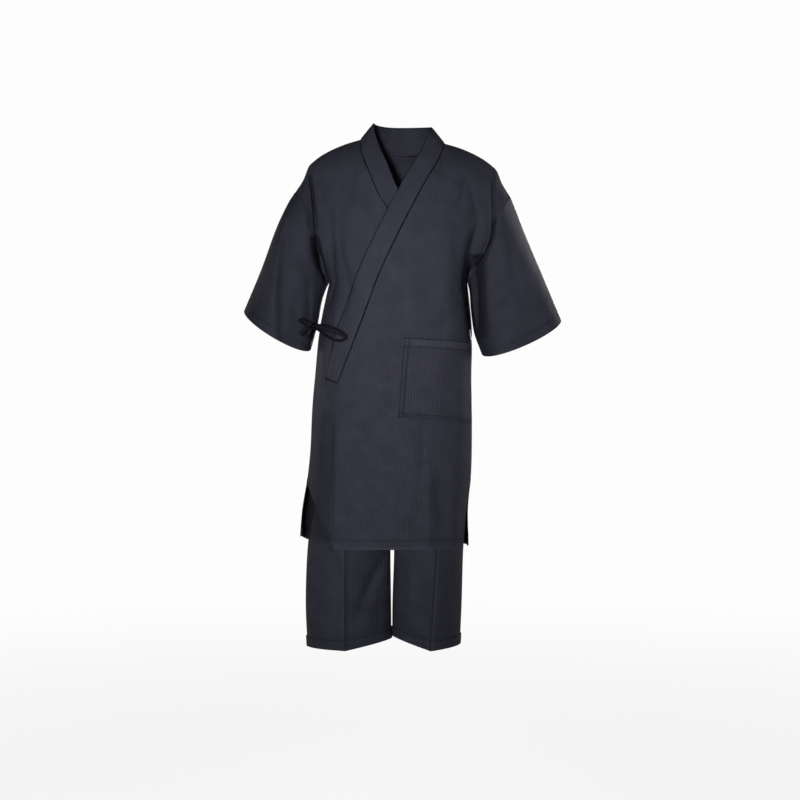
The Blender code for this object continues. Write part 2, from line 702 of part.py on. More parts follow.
def strap(name, route, facing, rows):
    """A flat tie along a route, its broad side turned to facing."""
    keys = route_lengths(route)
    facing = Vector(facing).normalized()

    def spot(key):
        return Vector([smooth(keys, [point[i] for point in route], key) for i in range(3)])

    def place(across, along):
        key = along * keys[-1]
        step = keys[-1] * 0.01
        run = (spot(min(key + step, keys[-1])) - spot(max(key - step, 0.0))).normalized()
        sideways = run.cross(facing).normalized()
        return spot(key) + sideways * TIE_WIDTH * (0.5 - across)

    return cloth(name, 1, rows, place, BLACK_TIE, TIE_THICK)


def make_knot():
    mesh = bpy.data.meshes.new("tie_knot")
    ball = bmesh.new()
    bmesh.ops.create_icosphere(ball, subdivisions=2, radius=1.0)
    for vertex in ball.verts:
        vertex.co = KNOT_AT + Vector(a * b for a, b in zip(vertex.co, KNOT_SIZE))
    ball.to_mesh(mesh)
    ball.free()
    return add_piece("tie_knot", mesh, BLACK_TIE)


def make_ties():
    forward = (0, -1, 0)
    strap("tie_front", TIE_FRONT_ROUTE, forward, 12)
    strap("tie_side", TIE_SIDE_ROUTE, (-1, 0, 0), 8)
    strap("tie_loop_upper", LOOP_UPPER_ROUTE, (0.2, -0.6, 1), 12)
    strap("tie_loop_lower", LOOP_LOWER_ROUTE, (0.1, -0.6, 1), 24)
    strap("tie_end_upper", TAIL_LEFT_ROUTE, forward, 8)
    strap("tie_end_lower", TAIL_RIGHT_ROUTE, forward, 8)
    make_knot()


def clear_scene():
    for item in list(bpy.data.objects):
        bpy.data.objects.remove(item, do_unlink=True)


def main():
    clear_scene()
    bpy.context.scene.collection.children.link(bpy.data.collections.new("Jinbei set"))
    make_front_left()
    make_front_right()
    make_back()
    make_sleeve("sleeve_left", LEFT_SLEEVE, 1)
    make_sleeve("sleeve_right", RIGHT_SLEEVE, -1)
    make_collar()
    make_pocket()
    make_leg("leg_left", LEFT_LEG, LEFT_HEM_RISE, 1)
    make_leg("leg_right", RIGHT_LEG, RIGHT_HEM_RISE, -1)
    make_waistband()
    make_ties()


if __name__ == "__main__":
    main()
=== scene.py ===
"""Jinbei set: the cloth, seams, stitching, lacing and ties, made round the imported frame.

Metres, +Z up.  The front faces -Y and the wearer's left is +X.  The cloth follows the frame's own
form, so its tables of sections are the frame's.
"""
import math
from collections import namedtuple

import bmesh
import bpy
import numpy as np
from mathutils import Matrix, Vector

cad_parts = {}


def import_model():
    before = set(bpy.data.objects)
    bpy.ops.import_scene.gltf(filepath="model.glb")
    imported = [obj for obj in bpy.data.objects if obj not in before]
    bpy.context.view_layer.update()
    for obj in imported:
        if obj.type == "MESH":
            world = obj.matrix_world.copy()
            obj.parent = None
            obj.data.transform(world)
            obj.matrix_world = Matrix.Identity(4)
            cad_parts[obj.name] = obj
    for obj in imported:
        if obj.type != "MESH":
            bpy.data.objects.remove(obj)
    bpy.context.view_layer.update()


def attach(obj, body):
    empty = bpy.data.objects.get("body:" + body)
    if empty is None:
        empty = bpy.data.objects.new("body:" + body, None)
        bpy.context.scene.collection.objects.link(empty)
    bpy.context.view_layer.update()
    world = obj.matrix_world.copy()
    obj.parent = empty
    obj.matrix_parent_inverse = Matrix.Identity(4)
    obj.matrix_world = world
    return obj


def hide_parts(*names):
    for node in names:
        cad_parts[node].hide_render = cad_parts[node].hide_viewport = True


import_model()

bl_info = {
    "name": "Jinbei Set",
    "version": (1, 0, 0),
    "blender": (4, 5, 0),
    "location": "View3D > Sidebar > Jinbei",
    "description": "Makes a wrap-over jinbei top with its ties, and the short trousers",
    "category": "Add Mesh",
}

# ---------------------------------------------------------------- the form of the garment

HEM_Z = -0.920
ARMPIT_Z = -0.325
VENT_Z = -0.765         # top of the side slits
WAIST_Z = -0.470        # top of the trouser panels
CROTCH_Z = -0.780
LEG_HEM_Z = -1.146
SKIRT_DROP = ARMPIT_Z - HEM_Z

SEAM = 0.0005           # between two pieces at a seam
SIDE_GAP = 0.0016       # the same at a side seam, in turns of the cloth
SHOULDER_GAP = 0.0001   # the same at a shoulder seam, in levels of the cloth
BACK_HEM_RISE = 0.036   # share of the skirt pulled up at the back's right side
UNDER = 0.0055          # how far the right front lies inside the left one
TURN_LENGTH = 0.262     # cloth in one turn, from the middle to a side seam
CHEST_LENGTH = 0.34     # cloth from the armpits' height over the chest to the shoulder seam
BACK_WIDTH = 0.500      # these widths only set how many columns a panel has
LEFT_FRONT_WIDTH = 0.290
RIGHT_FRONT_WIDTH = 0.240

COLLAR_WIDTH = 0.048
COLLAR_LIFT = 0.001
COLLAR_COLUMNS = 13
COLLAR_CHEST_ROWS = 76  # from the armpits' height up to the shoulder
COLLAR_NECK_ROWS = 60   # round the back of the neck
COLLAR_STEP = 0.009     # between its rows on the skirt, in levels of the cloth
COLLAR_FOOT = 0.06      # share of the band that reaches below the neckline at the back
LYING_SHARE = 0.96      # of the band's width, as it is seen lying on the chest
LOW_END_SHARE = 0.64    # the same at the collar's low end
LOW_END_Z = -0.566
LOW_END_FULL_Z = -0.448  # above this the band has its full width
LOW_END_SLANT = 0.80    # how much more its low end leans
STAND_WAY = np.array((0.62, 0.04, 0.78))  # inwards, back and up, where the collar stands
NECK_BACK_Y = 0.072
NECK_TOP_BACK_Y = 0.060
NECK_TOP_Z = 0.037

ARMHOLE_FRONT = 0.078
ARMHOLE_BACK = 0.072
CUFF_FRONT_DROP = 0.022
CUFF_BACK_DROP = 0.008

BODY_SQUARE = 2.4       # 2 is an ellipse, more is squarer
CHEST_SQUARE = 2.1
SHOULDER_BACK_SQUARE = 2.8
LEG_SQUARE = 2.3

Section = namedtuple("Section", "z mid_x half_width front_y back_y")
TOP_SECTIONS = (
    Section(HEM_Z, -0.042, 0.192, -0.126, 0.128),
    Section(-0.840, -0.040, 0.188, -0.124, 0.130),
    Section(-0.760, -0.030, 0.185, -0.122, 0.131),
    Section(-0.700, -0.026, 0.183, -0.121, 0.128),
    Section(-0.610, -0.024, 0.181, -0.121, 0.119),
    Section(-0.540, -0.0215, 0.1775, -0.122, 0.110),
    Section(-0.430, -0.0155, 0.1725, -0.126, 0.107),
    Section(ARMPIT_Z, -0.010, 0.157, -0.125, 0.115),
)
HIP_SECTIONS = (
    Section(CROTCH_Z, -0.0243, 0.173, -0.104, 0.112),
    Section(-0.740, -0.0243, 0.171, -0.105, 0.117),
    Section(-0.660, -0.0240, 0.167, -0.105, 0.113),
    Section(-0.560, -0.0220, 0.159, -0.101, 0.099),
    Section(WAIST_Z, -0.0190, 0.147, -0.094, 0.088),
    Section(-0.425, -0.0170, 0.143, -0.090, 0.085),
)

Shoulder = namedtuple("Shoulder", "out drop")
SHOULDER_LINE = (
    Shoulder(0.0000, -0.012), Shoulder(0.0500, -0.006), Shoulder(0.0940, 0.004),
    Shoulder(0.1390, 0.018), Shoulder(0.1800, 0.038), Shoulder(0.2090, 0.060),
    Shoulder(0.2160, 0.071), Shoulder(0.2255, 0.095), Shoulder(0.2425, 0.123),
)
SHOULDER_TILT = 0.0045

SleeveRow = namedtuple("SleeveRow", "along top_x top_z under_x under_z half_depth mid_y")
RIGHT_SLEEVE = (
    SleeveRow(0.12, -0.2580, -0.1420, -0.1752, -0.3400, 0.077, 0.0),
    SleeveRow(0.34, -0.2848, -0.1982, -0.1835, -0.3662, 0.074, -0.002),
    SleeveRow(0.67, -0.3195, -0.2938, -0.1935, -0.4211, 0.073, -0.006),
    SleeveRow(1.00, -0.3585, -0.3887, -0.2080, -0.4747, 0.073, -0.010),
)
LEFT_SLEEVE = (
    SleeveRow(0.12, 0.2530, -0.1530, 0.1516, -0.3440, 0.077, 0.0),
    SleeveRow(0.34, 0.2770, -0.2150, 0.1545, -0.3850, 0.074, -0.002),
    SleeveRow(0.67, 0.3190, -0.3150, 0.1622, -0.4370, 0.073, -0.006),
    SleeveRow(1.00, 0.3583, -0.4095, 0.1799, -0.4860, 0.073, -0.010),
)
SLEEVE_LENGTH = 0.285   # along the upper line
SLEEVE_ROUND = 0.450    # round the sleeve

Fold = namedtuple("Fold", "turn lean low high width depth")
FRONT_FOLDS = (
    Fold(0.24, 0.03, -0.925, -0.640, 0.050, -0.0030),
    Fold(-0.28, -0.02, -0.925, -0.560, 0.060, -0.0025),
    Fold(0.80, -0.15, -0.420, -0.150, 0.070, -0.0060),
    Fold(-0.78, 0.14, -0.400, -0.140, 0.060, -0.0055),
    Fold(0.10, 0.55, -0.520, -0.330, 0.120, -0.0030),
)
BACK_FOLDS = (
    Fold(0.35, 0.05, -0.925, -0.560, 0.070, -0.0050),
    Fold(-0.40, -0.05, -0.925, -0.600, 0.080, -0.0050),
    Fold(0.78, -0.10, -0.480, -0.120, 0.070, -0.0080),
    Fold(-0.80, 0.10, -0.460, -0.120, 0.070, -0.0080),
    Fold(0.02, 0.04, -0.900, -0.640, 0.080, -0.0040),
)

SeamRow = namedtuple("SeamRow", "z x stand")
LEFT_SEAM = (
    SeamRow(-0.5539, -0.1449, 0.0), SeamRow(-0.4840, -0.1176, 0.0), SeamRow(-0.4149, -0.0904, 0.0),
    SeamRow(-0.3070, -0.0500, 0.0), SeamRow(-0.2356, -0.0161, 0.0), SeamRow(-0.1604, 0.0212, 0.0),
    SeamRow(-0.1024, 0.0523, 0.05), SeamRow(-0.0600, 0.0765, 0.30), SeamRow(-0.0300, 0.0895, 0.65),
    SeamRow(-0.0085, 0.0940, 1.0),
)
RIGHT_SEAM = (
    SeamRow(-0.5450, 0.1000, 0.0), SeamRow(-0.4140, 0.0600, 0.0), SeamRow(-0.3060, 0.0240, 0.0),
    SeamRow(-0.2340, -0.0060, 0.0), SeamRow(-0.1635, -0.0347, 0.0), SeamRow(-0.1343, -0.0533, 0.0),
    SeamRow(-0.0793, -0.0760, 0.10), SeamRow(-0.0450, -0.0900, 0.35), SeamRow(-0.0208, -0.0950, 0.70),
    SeamRow(0.0005, -0.0940, 1.0),
)
EdgeRow = namedtuple("EdgeRow", "z x")
LEFT_EDGE = (
    EdgeRow(HEM_Z, -0.1500), EdgeRow(-0.9080, -0.1590), EdgeRow(-0.8660, -0.1630),
    EdgeRow(-0.7670, -0.1588), EdgeRow(-0.6790, -0.1522), EdgeRow(-0.5900, -0.1515),
    EdgeRow(-0.5539, -0.1449),
)
RIGHT_EDGE = (
    EdgeRow(HEM_Z, 0.1000), EdgeRow(-0.7600, 0.1050), EdgeRow(-0.5450, 0.1000),
)
VentRow = namedtuple("VentRow", "z left right")
VENT_ROWS = (
    VentRow(HEM_Z, 0.70, 0.38), VentRow(-0.900, 0.72, 0.42), VentRow(-0.870, 0.755, 0.48),
    VentRow(-0.835, 0.81, 0.57), VentRow(-0.800, 0.88, 0.73), VentRow(VENT_Z, 1.0, 1.0),
    VentRow(ARMPIT_Z, 1.0, 1.0),
)
PocketRow = namedtuple("PocketRow", "z_inner z_outer turn_inner turn_outer")
POCKET_TOP = PocketRow(-0.4520, -0.4620, 0.068, 0.800)
POCKET_FOOT = PocketRow(-0.6290, -0.6440, 0.042, 0.800)
POCKET_LIFT = 0.0029
POCKET_GAPE = 0.0015
POCKET_SIZE = (0.160, 0.182)

LegRow = namedtuple("LegRow", "z inner outer front_y back_y crease")
RIGHT_LEG = (
    LegRow(LEG_HEM_Z, -0.0256, -0.2160, -0.092, 0.082, 0.06),
    LegRow(-1.050, -0.0262, -0.2200, -0.092, 0.086, 0.05),
    LegRow(-0.930, -0.0275, -0.2160, -0.092, 0.092, 0.04),
    LegRow(-0.850, -0.0262, -0.2060, -0.090, 0.094, 0.02),
    LegRow(CROTCH_Z, -0.0250, -0.1940, -0.086, 0.094, 0.00),
)
LEFT_LEG = (
    LegRow(LEG_HEM_Z, -0.0236, 0.1300, -0.096, 0.086, 0.11),
    LegRow(-1.050, -0.0232, 0.1340, -0.095, 0.088, 0.16),
    LegRow(-0.930, -0.0195, 0.1375, -0.092, 0.092, 0.24),
    LegRow(-0.850, -0.0215, 0.1430, -0.090, 0.094, 0.14),
    LegRow(CROTCH_Z, -0.0236, 0.1440, -0.086, 0.094, 0.00),
)
CROTCH_ROUND = 0.110
CREASE_FULL_Z = -0.950
CREASE_POWER = 1.6
HemRise = namedtuple("HemRise", "inner outer")
RIGHT_HEM_RISE = HemRise(0.018, 0.000)
LEFT_HEM_RISE = HemRise(0.024, 0.006)
HEM_RISE_REACH = 0.100
LEG_ROUND = 0.480       # round a leg
LEG_FINE_LENGTH = 0.26  # the part of a leg, up from its hem, with close rows
HIDDEN_PITCH = 0.009    # between rows that lie under other cloth
WAISTBAND_DEPTH = 0.040
WAISTBAND_LENGTH = 0.80
WAISTBAND_THICKNESS = 0.0016
WAISTBAND_GATHERS = 46
WAISTBAND_IN = 0.0015
GATHER_DEPTH = 0.0013

KNOT_AT = Vector((-0.2075, -0.0780, -0.4210))
KNOT_SIZE = (0.0080, 0.0070, 0.0085)
TIE_WIDTH = 0.010
TIE_ROWS = 34
TIE_FRONT_ROUTE = (
    (-0.1270, -0.1125, -0.4480), (-0.1400, -0.1125, -0.4420), (-0.1600, -0.1075, -0.4360),
    (-0.1780, -0.0970, -0.4290), (-0.1980, -0.0820, -0.4220),
)
TIE_SIDE_ROUTE = (
    (-0.1845, -0.0480, -0.4330), (-0.1900, -0.0570, -0.4310), (-0.1960, -0.0650, -0.4280),
    (-0.2010, -0.0715, -0.4255),
)
LOOP_UPPER_ROUTE = (
    (-0.2120, -0.0880, -0.4165), (-0.2180, -0.0930, -0.4110), (-0.2250, -0.0930, -0.4090),
    (-0.2290, -0.0880, -0.4135), (-0.2250, -0.0830, -0.4185), (-0.2180, -0.0800, -0.4205),
)
LOOP_LOWER_ROUTE = (
    (-0.1985, -0.0890, -0.4225), (-0.1860, -0.1000, -0.4235), (-0.1680, -0.1115, -0.4265),
    (-0.1480, -0.1200, -0.4330), (-0.1310, -0.1240, -0.4430), (-0.1260, -0.1240, -0.4510),
    (-0.1330, -0.1240, -0.4580), (-0.1490, -0.1215, -0.4585), (-0.1660, -0.1150, -0.4500),
    (-0.1820, -0.1050, -0.4380), (-0.1980, -0.0920, -0.4290),
)
TAIL_LEFT_ROUTE = (
    (-0.2135, -0.0810, -0.4290), (-0.2180, -0.0830, -0.4335), (-0.2230, -0.0840, -0.4380),
    (-0.2280, -0.0835, -0.4430),
)
TAIL_RIGHT_ROUTE = (
    (-0.2060, -0.0865, -0.4300), (-0.2075, -0.0890, -0.4370), (-0.2110, -0.0895, -0.4440),
    (-0.2160, -0.0890, -0.4500),
)

# ---------------------------------------------------------------- creases placed one by one

# Seen from the front, or from behind for the back: the ends of each crease, the point that its bow
# leans to, its width towards -x and +x, and its depth, negative for a trough.
Crease = namedtuple("Crease", "x0 z0 x1 z1 x2 z2 right left depth")
ARMHOLE_CREASES = (     # across the armhole seams, the same on both sides of them
    Crease(-0.2120, -0.076, -0.1985, -0.135, -0.1925, -0.240, 0.0024, 0.0034, -0.0260),
    Crease(-0.1960, -0.222, -0.1905, -0.262, -0.1790, -0.306, 0.0086, 0.0058, -0.0680),
    Crease(-0.1870, -0.258, -0.1785, -0.298, -0.1655, -0.340, 0.0060, 0.0042, -0.0540),
    Crease(0.2035, -0.062, 0.2025, -0.130, 0.2030, -0.204, 0.0020, 0.0028, -0.0100),
    Crease(0.2030, -0.180, 0.2050, -0.243, 0.1700, -0.284, 0.0030, 0.0040, -0.0330),
    Crease(0.1840, -0.264, 0.1700, -0.290, 0.1450, -0.304, 0.0036, 0.0048, -0.0330),
    Crease(0.1590, -0.262, 0.1600, -0.350, 0.1680, -0.455, 0.0160, 0.0150, -0.0900),
)
FRONT_CREASES = (
    # the pocket of cloth before the left arm, and soft folds on the chest
    Crease(0.1700, -0.196, 0.1540, -0.230, 0.1470, -0.292, 0.0070, 0.0200, -0.0150),
    Crease(0.1960, -0.076, 0.1970, -0.130, 0.1960, -0.190, 0.0050, 0.0030, 0.0024),
    Crease(-0.1890, -0.072, -0.1860, -0.110, -0.1850, -0.165, 0.0050, 0.0090, -0.0046),
    Crease(0.0900, -0.030, 0.0900, -0.060, 0.0840, -0.110, 0.0050, 0.0050, -0.0036),
    Crease(0.1420, -0.080, 0.1350, -0.120, 0.1230, -0.172, 0.0050, 0.0110, -0.0050),
    Crease(0.1540, -0.098, 0.1560, -0.150, 0.1760, -0.205, 0.0110, 0.0050, -0.0060),
    Crease(-0.1400, -0.235, -0.1290, -0.300, -0.1140, -0.362, 0.0060, 0.0080, -0.0060),
    Crease(-0.1120, -0.340, -0.1240, -0.390, -0.1400, -0.430, 0.0100, 0.0045, -0.0064),
    Crease(-0.1500, -0.330, -0.1560, -0.370, -0.1620, -0.420, 0.0080, 0.0060, -0.0046),
    # pulls that run out from the tie
    Crease(-0.1320, -0.455, -0.1480, -0.445, -0.1700, -0.430, 0.0060, 0.0060, -0.0046),
    Crease(-0.1260, -0.462, -0.1000, -0.440, -0.0600, -0.425, 0.0060, 0.0060, -0.0022),
    Crease(-0.1540, -0.460, -0.1690, -0.495, -0.1700, -0.560, 0.0070, 0.0060, -0.0105),
    Crease(-0.1300, -0.470, -0.1380, -0.505, -0.1400, -0.540, 0.0050, 0.0050, -0.0018),
    # the pressed fold and the soft ones of the skirt
    Crease(0.0500, -0.630, 0.0500, -0.780, 0.0530, -0.945, 0.0030, 0.0200, 0.0056),
    Crease(0.1040, -0.470, 0.1060, -0.590, 0.0980, -0.730, 0.0160, 0.0160, -0.0048),
    Crease(0.0700, -0.690, 0.0820, -0.800, 0.0900, -0.925, 0.0120, 0.0180, -0.0038),
    Crease(-0.0500, -0.560, -0.0700, -0.700, -0.0560, -0.925, 0.0220, 0.0160, -0.0036),
    Crease(-0.1300, -0.640, -0.1200, -0.760, -0.1290, -0.925, 0.0120, 0.0120, -0.0036),
    Crease(-0.1530, -0.590, -0.1610, -0.780, -0.1560, -0.935, 0.0150, 0.0045, -0.0085),
    Crease(0.0040, -0.260, 0.0400, -0.330, 0.1000, -0.370, 0.0200, 0.0260, -0.0034),
    Crease(-0.0260, -0.380, 0.0150, -0.470, 0.0050, -0.600, 0.0180, 0.0240, -0.0030),
    Crease(0.1400, -0.370, 0.1250, -0.410, 0.1300, -0.460, 0.0140, 0.0100, -0.0040),
    Crease(-0.1050, -0.050, -0.0980, -0.130, -0.1060, -0.220, 0.0080, 0.0130, 0.0036),
    Crease(-0.1380, -0.070, -0.1330, -0.150, -0.1430, -0.250, 0.0110, 0.0080, -0.0034),
    Crease(0.1080, -0.190, 0.0980, -0.260, 0.1120, -0.330, 0.0130, 0.0100, 0.0034),
    Crease(0.0420, -0.240, 0.0350, -0.330, 0.0480, -0.420, 0.0120, 0.0160, -0.0028),
)
BACK_CREASES = (
    Crease(-0.2120, -0.080, -0.1950, -0.180, -0.1720, -0.300, 0.0080, 0.0060, -0.0120),
    Crease(0.2120, -0.085, 0.1960, -0.180, 0.1640, -0.310, 0.0060, 0.0080, -0.0130),
    Crease(-0.1300, -0.075, -0.1380, -0.150, -0.1550, -0.240, 0.0120, 0.0080, -0.0040),
    Crease(0.1250, -0.075, 0.1360, -0.140, 0.1500, -0.235, 0.0080, 0.0120, -0.0040),
    Crease(-0.0700, -0.060, -0.0300, -0.085, 0.0400, -0.070, 0.0100, 0.0100, -0.0025),
    Crease(-0.1450, -0.350, -0.0900, -0.420, -0.0300, -0.450, 0.0140, 0.0160, -0.0036),
    Crease(0.1300, -0.340, 0.0700, -0.430, 0.0200, -0.470, 0.0160, 0.0140, -0.0034),
    Crease(-0.1500, -0.470, -0.1000, -0.520, -0.0600, -0.530, 0.0110, 0.0140, -0.0026),
    Crease(0.1350, -0.480, 0.0950, -0.530, 0.0400, -0.545, 0.0120, 0.0110, -0.0026),
    Crease(-0.0300, -0.560, -0.0200, -0.700, -0.0350, -0.930, 0.0160, 0.0220, -0.0040),
    Crease(-0.1250, -0.620, -0.1350, -0.780, -0.1250, -0.930, 0.0140, 0.0160, -0.0038),
    Crease(0.0600, -0.600, 0.0750, -0.770, 0.0660, -0.930, 0.0180, 0.0150, -0.0042),
    Crease(0.1180, -0.660, 0.1100, -0.800, 0.1160, -0.930, 0.0100, 0.0120, -0.0028),
)
SLEEVE_FRONT_CREASES = (
    # right sleeve
    Crease(-0.2250, -0.205, -0.2080, -0.222, -0.1900, -0.214, 0.0080, 0.0080, 0.0040),
    Crease(-0.2500, -0.110, -0.3020, -0.300, -0.2760, -0.520, 0.0380, 0.0110, 0.0190),
    Crease(-0.2720, -0.272, -0.2400, -0.292, -0.2000, -0.296, 0.0060, 0.0060, -0.0036),
    Crease(-0.2950, -0.300, -0.3080, -0.360, -0.3260, -0.430, 0.0120, 0.0120, -0.0026),
    Crease(-0.2350, -0.330, -0.2380, -0.400, -0.2440, -0.500, 0.0100, 0.0140, -0.0030),
    Crease(-0.2080, -0.310, -0.2120, -0.370, -0.2100, -0.430, 0.0090, 0.0060, -0.0060),
    # left sleeve
    Crease(0.1900, -0.388, 0.2150, -0.378, 0.2620, -0.366, 0.0060, 0.0060, -0.0038),
    Crease(0.2300, -0.200, 0.2460, -0.280, 0.2560, -0.380, 0.0080, 0.0110, -0.0028),
    Crease(0.2020, -0.250, 0.2050, -0.320, 0.2000, -0.420, 0.0120, 0.0090, -0.0040),
    Crease(0.2900, -0.300, 0.3000, -0.360, 0.3180, -0.440, 0.0110, 0.0110, -0.0024),
    Crease(0.2400, -0.390, 0.2500, -0.430, 0.2540, -0.490, 0.0090, 0.0090, -0.0020),
)
SLEEVE_BACK_CREASES = (
    Crease(-0.2700, -0.190, -0.2500, -0.280, -0.2600, -0.470, 0.0140, 0.0140, -0.0040),
    Crease(-0.3050, -0.270, -0.3080, -0.340, -0.3280, -0.430, 0.0110, 0.0110, -0.0028),
    Crease(-0.2700, -0.282, -0.2400, -0.300, -0.2000, -0.306, 0.0070, 0.0070, -0.0040),
    Crease(0.2700, -0.200, 0.2460, -0.300, 0.2500, -0.480, 0.0140, 0.0140, -0.0042),
    Crease(0.3000, -0.290, 0.3080, -0.350, 0.3220, -0.430, 0.0110, 0.0110, -0.0028),
    Crease(0.1850, -0.330, 0.2150, -0.322, 0.2600, -0.300, 0.0070, 0.0070, -0.0042),
)
LEG_FRONT_CREASES = (
    Crease(-0.0300, -0.925, -0.0780, -1.000, -0.1060, -1.090, 0.0120, 0.0120, -0.0100),
    Crease(-0.1900, -0.930, -0.1800, -1.000, -0.1840, -1.080, 0.0120, 0.0120, -0.0040),
    Crease(-0.2010, -0.780, -0.1800, -0.860, -0.1500, -0.925, 0.0160, 0.0120, -0.0180),
    Crease(-0.0560, -1.040, -0.0500, -1.080, -0.0640, -1.130, 0.0100, 0.0120, -0.0040),
    Crease(-0.0100, -0.930, 0.0060, -1.000, -0.0060, -1.090, 0.0110, 0.0110, -0.0060),
    Crease(0.0420, -0.935, 0.0360, -1.010, 0.0300, -1.090, 0.0140, 0.0140, -0.0040),
    Crease(0.0960, -0.940, 0.1060, -1.030, 0.0980, -1.120, 0.0120, 0.0120, -0.0036),
    Crease(0.0000, -1.106, 0.0240, -1.100, 0.0460, -1.108, 0.0040, 0.0040, -0.0022),
    Crease(0.0880, -1.110, 0.0990, -1.104, 0.1100, -1.110, 0.0050, 0.0050, 0.0022),
    # the sharp lines pressed down the middle
    Crease(-0.1270, -0.880, -0.1280, -1.020, -0.1270, -1.180, 0.0140, 0.0040, 0.0050),
    Crease(0.0790, -0.880, 0.0730, -1.020, 0.0600, -1.180, 0.0040, 0.0160, 0.0052),
)
LEG_BACK_CREASES = (
    Crease(-0.0360, -0.925, -0.0700, -1.000, -0.0960, -1.090, 0.0130, 0.0130, -0.0060),
    Crease(-0.1700, -0.900, -0.1760, -1.000, -0.1660, -1.100, 0.0120, 0.0120, -0.0034),
    Crease(-0.0060, -0.925, 0.0160, -1.000, 0.0300, -1.090, 0.0120, 0.0120, -0.0054),
    Crease(0.0900, -0.900, 0.1000, -1.000, 0.0920, -1.100, 0.0120, 0.0120, -0.0034),
)
CREASE_POINTS = 41
ARMHOLE_STOP_Y = 0.016  # the folds across the armholes go no deeper

Ripple = namedtuple("Ripple", "across along phase height")
UNEVEN = (  # long low waves that keep any panel from lying flat
    Ripple(62.0, 17.0, 0.4, 0.00050), Ripple(-41.0, 38.0, 1.9, 0.00055),
    Ripple(24.0, 71.0, 3.1, 0.00034), Ripple(88.0, -12.0, 4.6, 0.00034),
    Ripple(9.0, 49.0, 5.3, 0.00050),
)

# ---------------------------------------------------------------- colours, lights and stage

CAMERA_AT = (-0.006, -4.0, -0.590)
CAMERA_LENS = 79.3      # millimetres, on a 36 mm sensor
FLOOR_Z = -1.464
FLOOR_REACH = 14.0
FLOOR_FADE = (0.6, 4.0)  # metres from the middle over which the floor melts into the backdrop
FLOOR_GLOW = 0.90       # share of the backdrop's own light in the floor below the garment
OVERHEAD_FADE = (0.225, 0.30)  # heights on the sky over which the backdrop turns to the overhead

Softbox = namedtuple("Softbox", "name x y z aim_x aim_z width height spread watts")
SOFTBOXES = (
    Softbox("key_softbox", -0.5, -3.8, -0.25, 0.02, -0.23, 0.35, 0.35, 19, 6.7),
    Softbox("low_softbox", -0.7, -3.7, -0.80, -0.06, -0.87, 0.4, 0.4, 20, 5.1),
    Softbox("side_softbox", 1.3, 0.75, 0.25, 0.32, -0.23, 0.2, 0.3, 16, 0.7),
    Softbox("back_softbox", 0.9, 3.6, 0.0, 0.0, -0.45, 0.5, 0.5, 32, 11.0),
    Softbox("back_left_softbox", 2.8, 2.6, -0.2, 0.0, -0.50, 0.5, 0.5, 30, 3.4),
    Softbox("back_right_softbox", -2.7, 2.7, -0.2, 0.0, -0.50, 0.5, 0.5, 30, 2.0),
)


class JinbeiSettings(bpy.types.PropertyGroup):
    """Sizes and colours of the jinbei set."""
    cloth_thickness: bpy.props.FloatProperty(
        name="Cloth thickness", description="Thickness of one layer of cotton",
        default=0.0007, min=0.0003, max=0.002, precision=4, unit="LENGTH")
    pitch: bpy.props.FloatProperty(
        name="Pitch", description="Distance between the points of the cloth",
        default=0.0040, min=0.002, max=0.02, precision=4, unit="LENGTH")
    turn_in: bpy.props.FloatProperty(
        name="Turned edge", description="Cloth turned in along a seam or a free edge",
        default=0.010, min=0.004, max=0.03, precision=3, unit="LENGTH")
    hem_depth: bpy.props.FloatProperty(
        name="Hem depth", description="Cloth turned up at a hem or a cuff",
        default=0.022, min=0.008, max=0.05, precision=3, unit="LENGTH")
    collar_thickness: bpy.props.FloatProperty(
        name="Collar thickness", description="Thickness of the folded collar band",
        default=0.0026, min=0.001, max=0.005, precision=4, unit="LENGTH")
    tie_thickness: bpy.props.FloatProperty(
        name="Tie thickness", description="Thickness of the sewn ties",
        default=0.0014, min=0.0008, max=0.003, precision=4, unit="LENGTH")
    lace_gap: bpy.props.FloatProperty(
        name="Lace gap", description="Open width of the laced armhole seam",
        default=0.006, min=0.0, max=0.015, precision=4, unit="LENGTH")
    stitch_pitch: bpy.props.FloatProperty(
        name="Stitch pitch", description="Distance from one stitch to the next",
        default=0.0036, min=0.002, max=0.01, precision=4, unit="LENGTH")
    thread: bpy.props.FloatProperty(
        name="Thread", description="Thickness of the sewing thread",
        default=0.0005, min=0.0002, max=0.001, precision=4, unit="LENGTH")
    rib_pitch: bpy.props.FloatProperty(
        name="Rib pitch", description="Distance between the woven ripples",
        default=0.0045, min=0.001, max=0.02, precision=4, unit="LENGTH")
    charcoal: bpy.props.FloatVectorProperty(
        name="Charcoal", description="Colour of the cloth between the ripples", subtype="COLOR",
        size=3, default=(0.0046, 0.0047, 0.0068), min=0.0, max=1.0)
    charcoal_light: bpy.props.FloatVectorProperty(
        name="Light charcoal", description="Colour on top of the ripples", subtype="COLOR",
        size=3, default=(0.0140, 0.0142, 0.0200), min=0.0, max=1.0)
    black: bpy.props.FloatVectorProperty(
        name="Black", description="Colour of the ties and the thread", subtype="COLOR",
        size=3, default=(0.0030, 0.0030, 0.0040), min=0.0, max=1.0)
    backdrop: bpy.props.FloatVectorProperty(
        name="Backdrop", description="Colour of the studio", subtype="COLOR",
        size=3, default=(0.98, 0.98, 0.98), min=0.0, max=1.0)
    overhead: bpy.props.FloatVectorProperty(
        name="Overhead", description="Colour of the studio above the horizon", subtype="COLOR",
        size=3, default=(0.14, 0.14, 0.14), min=0.0, max=1.0)


# ---------------------------------------------------------------- curves and the form, as arrays


def column(rows, name):
    """One named column of a table."""
    return np.array([getattr(row, name) for row in rows], float)


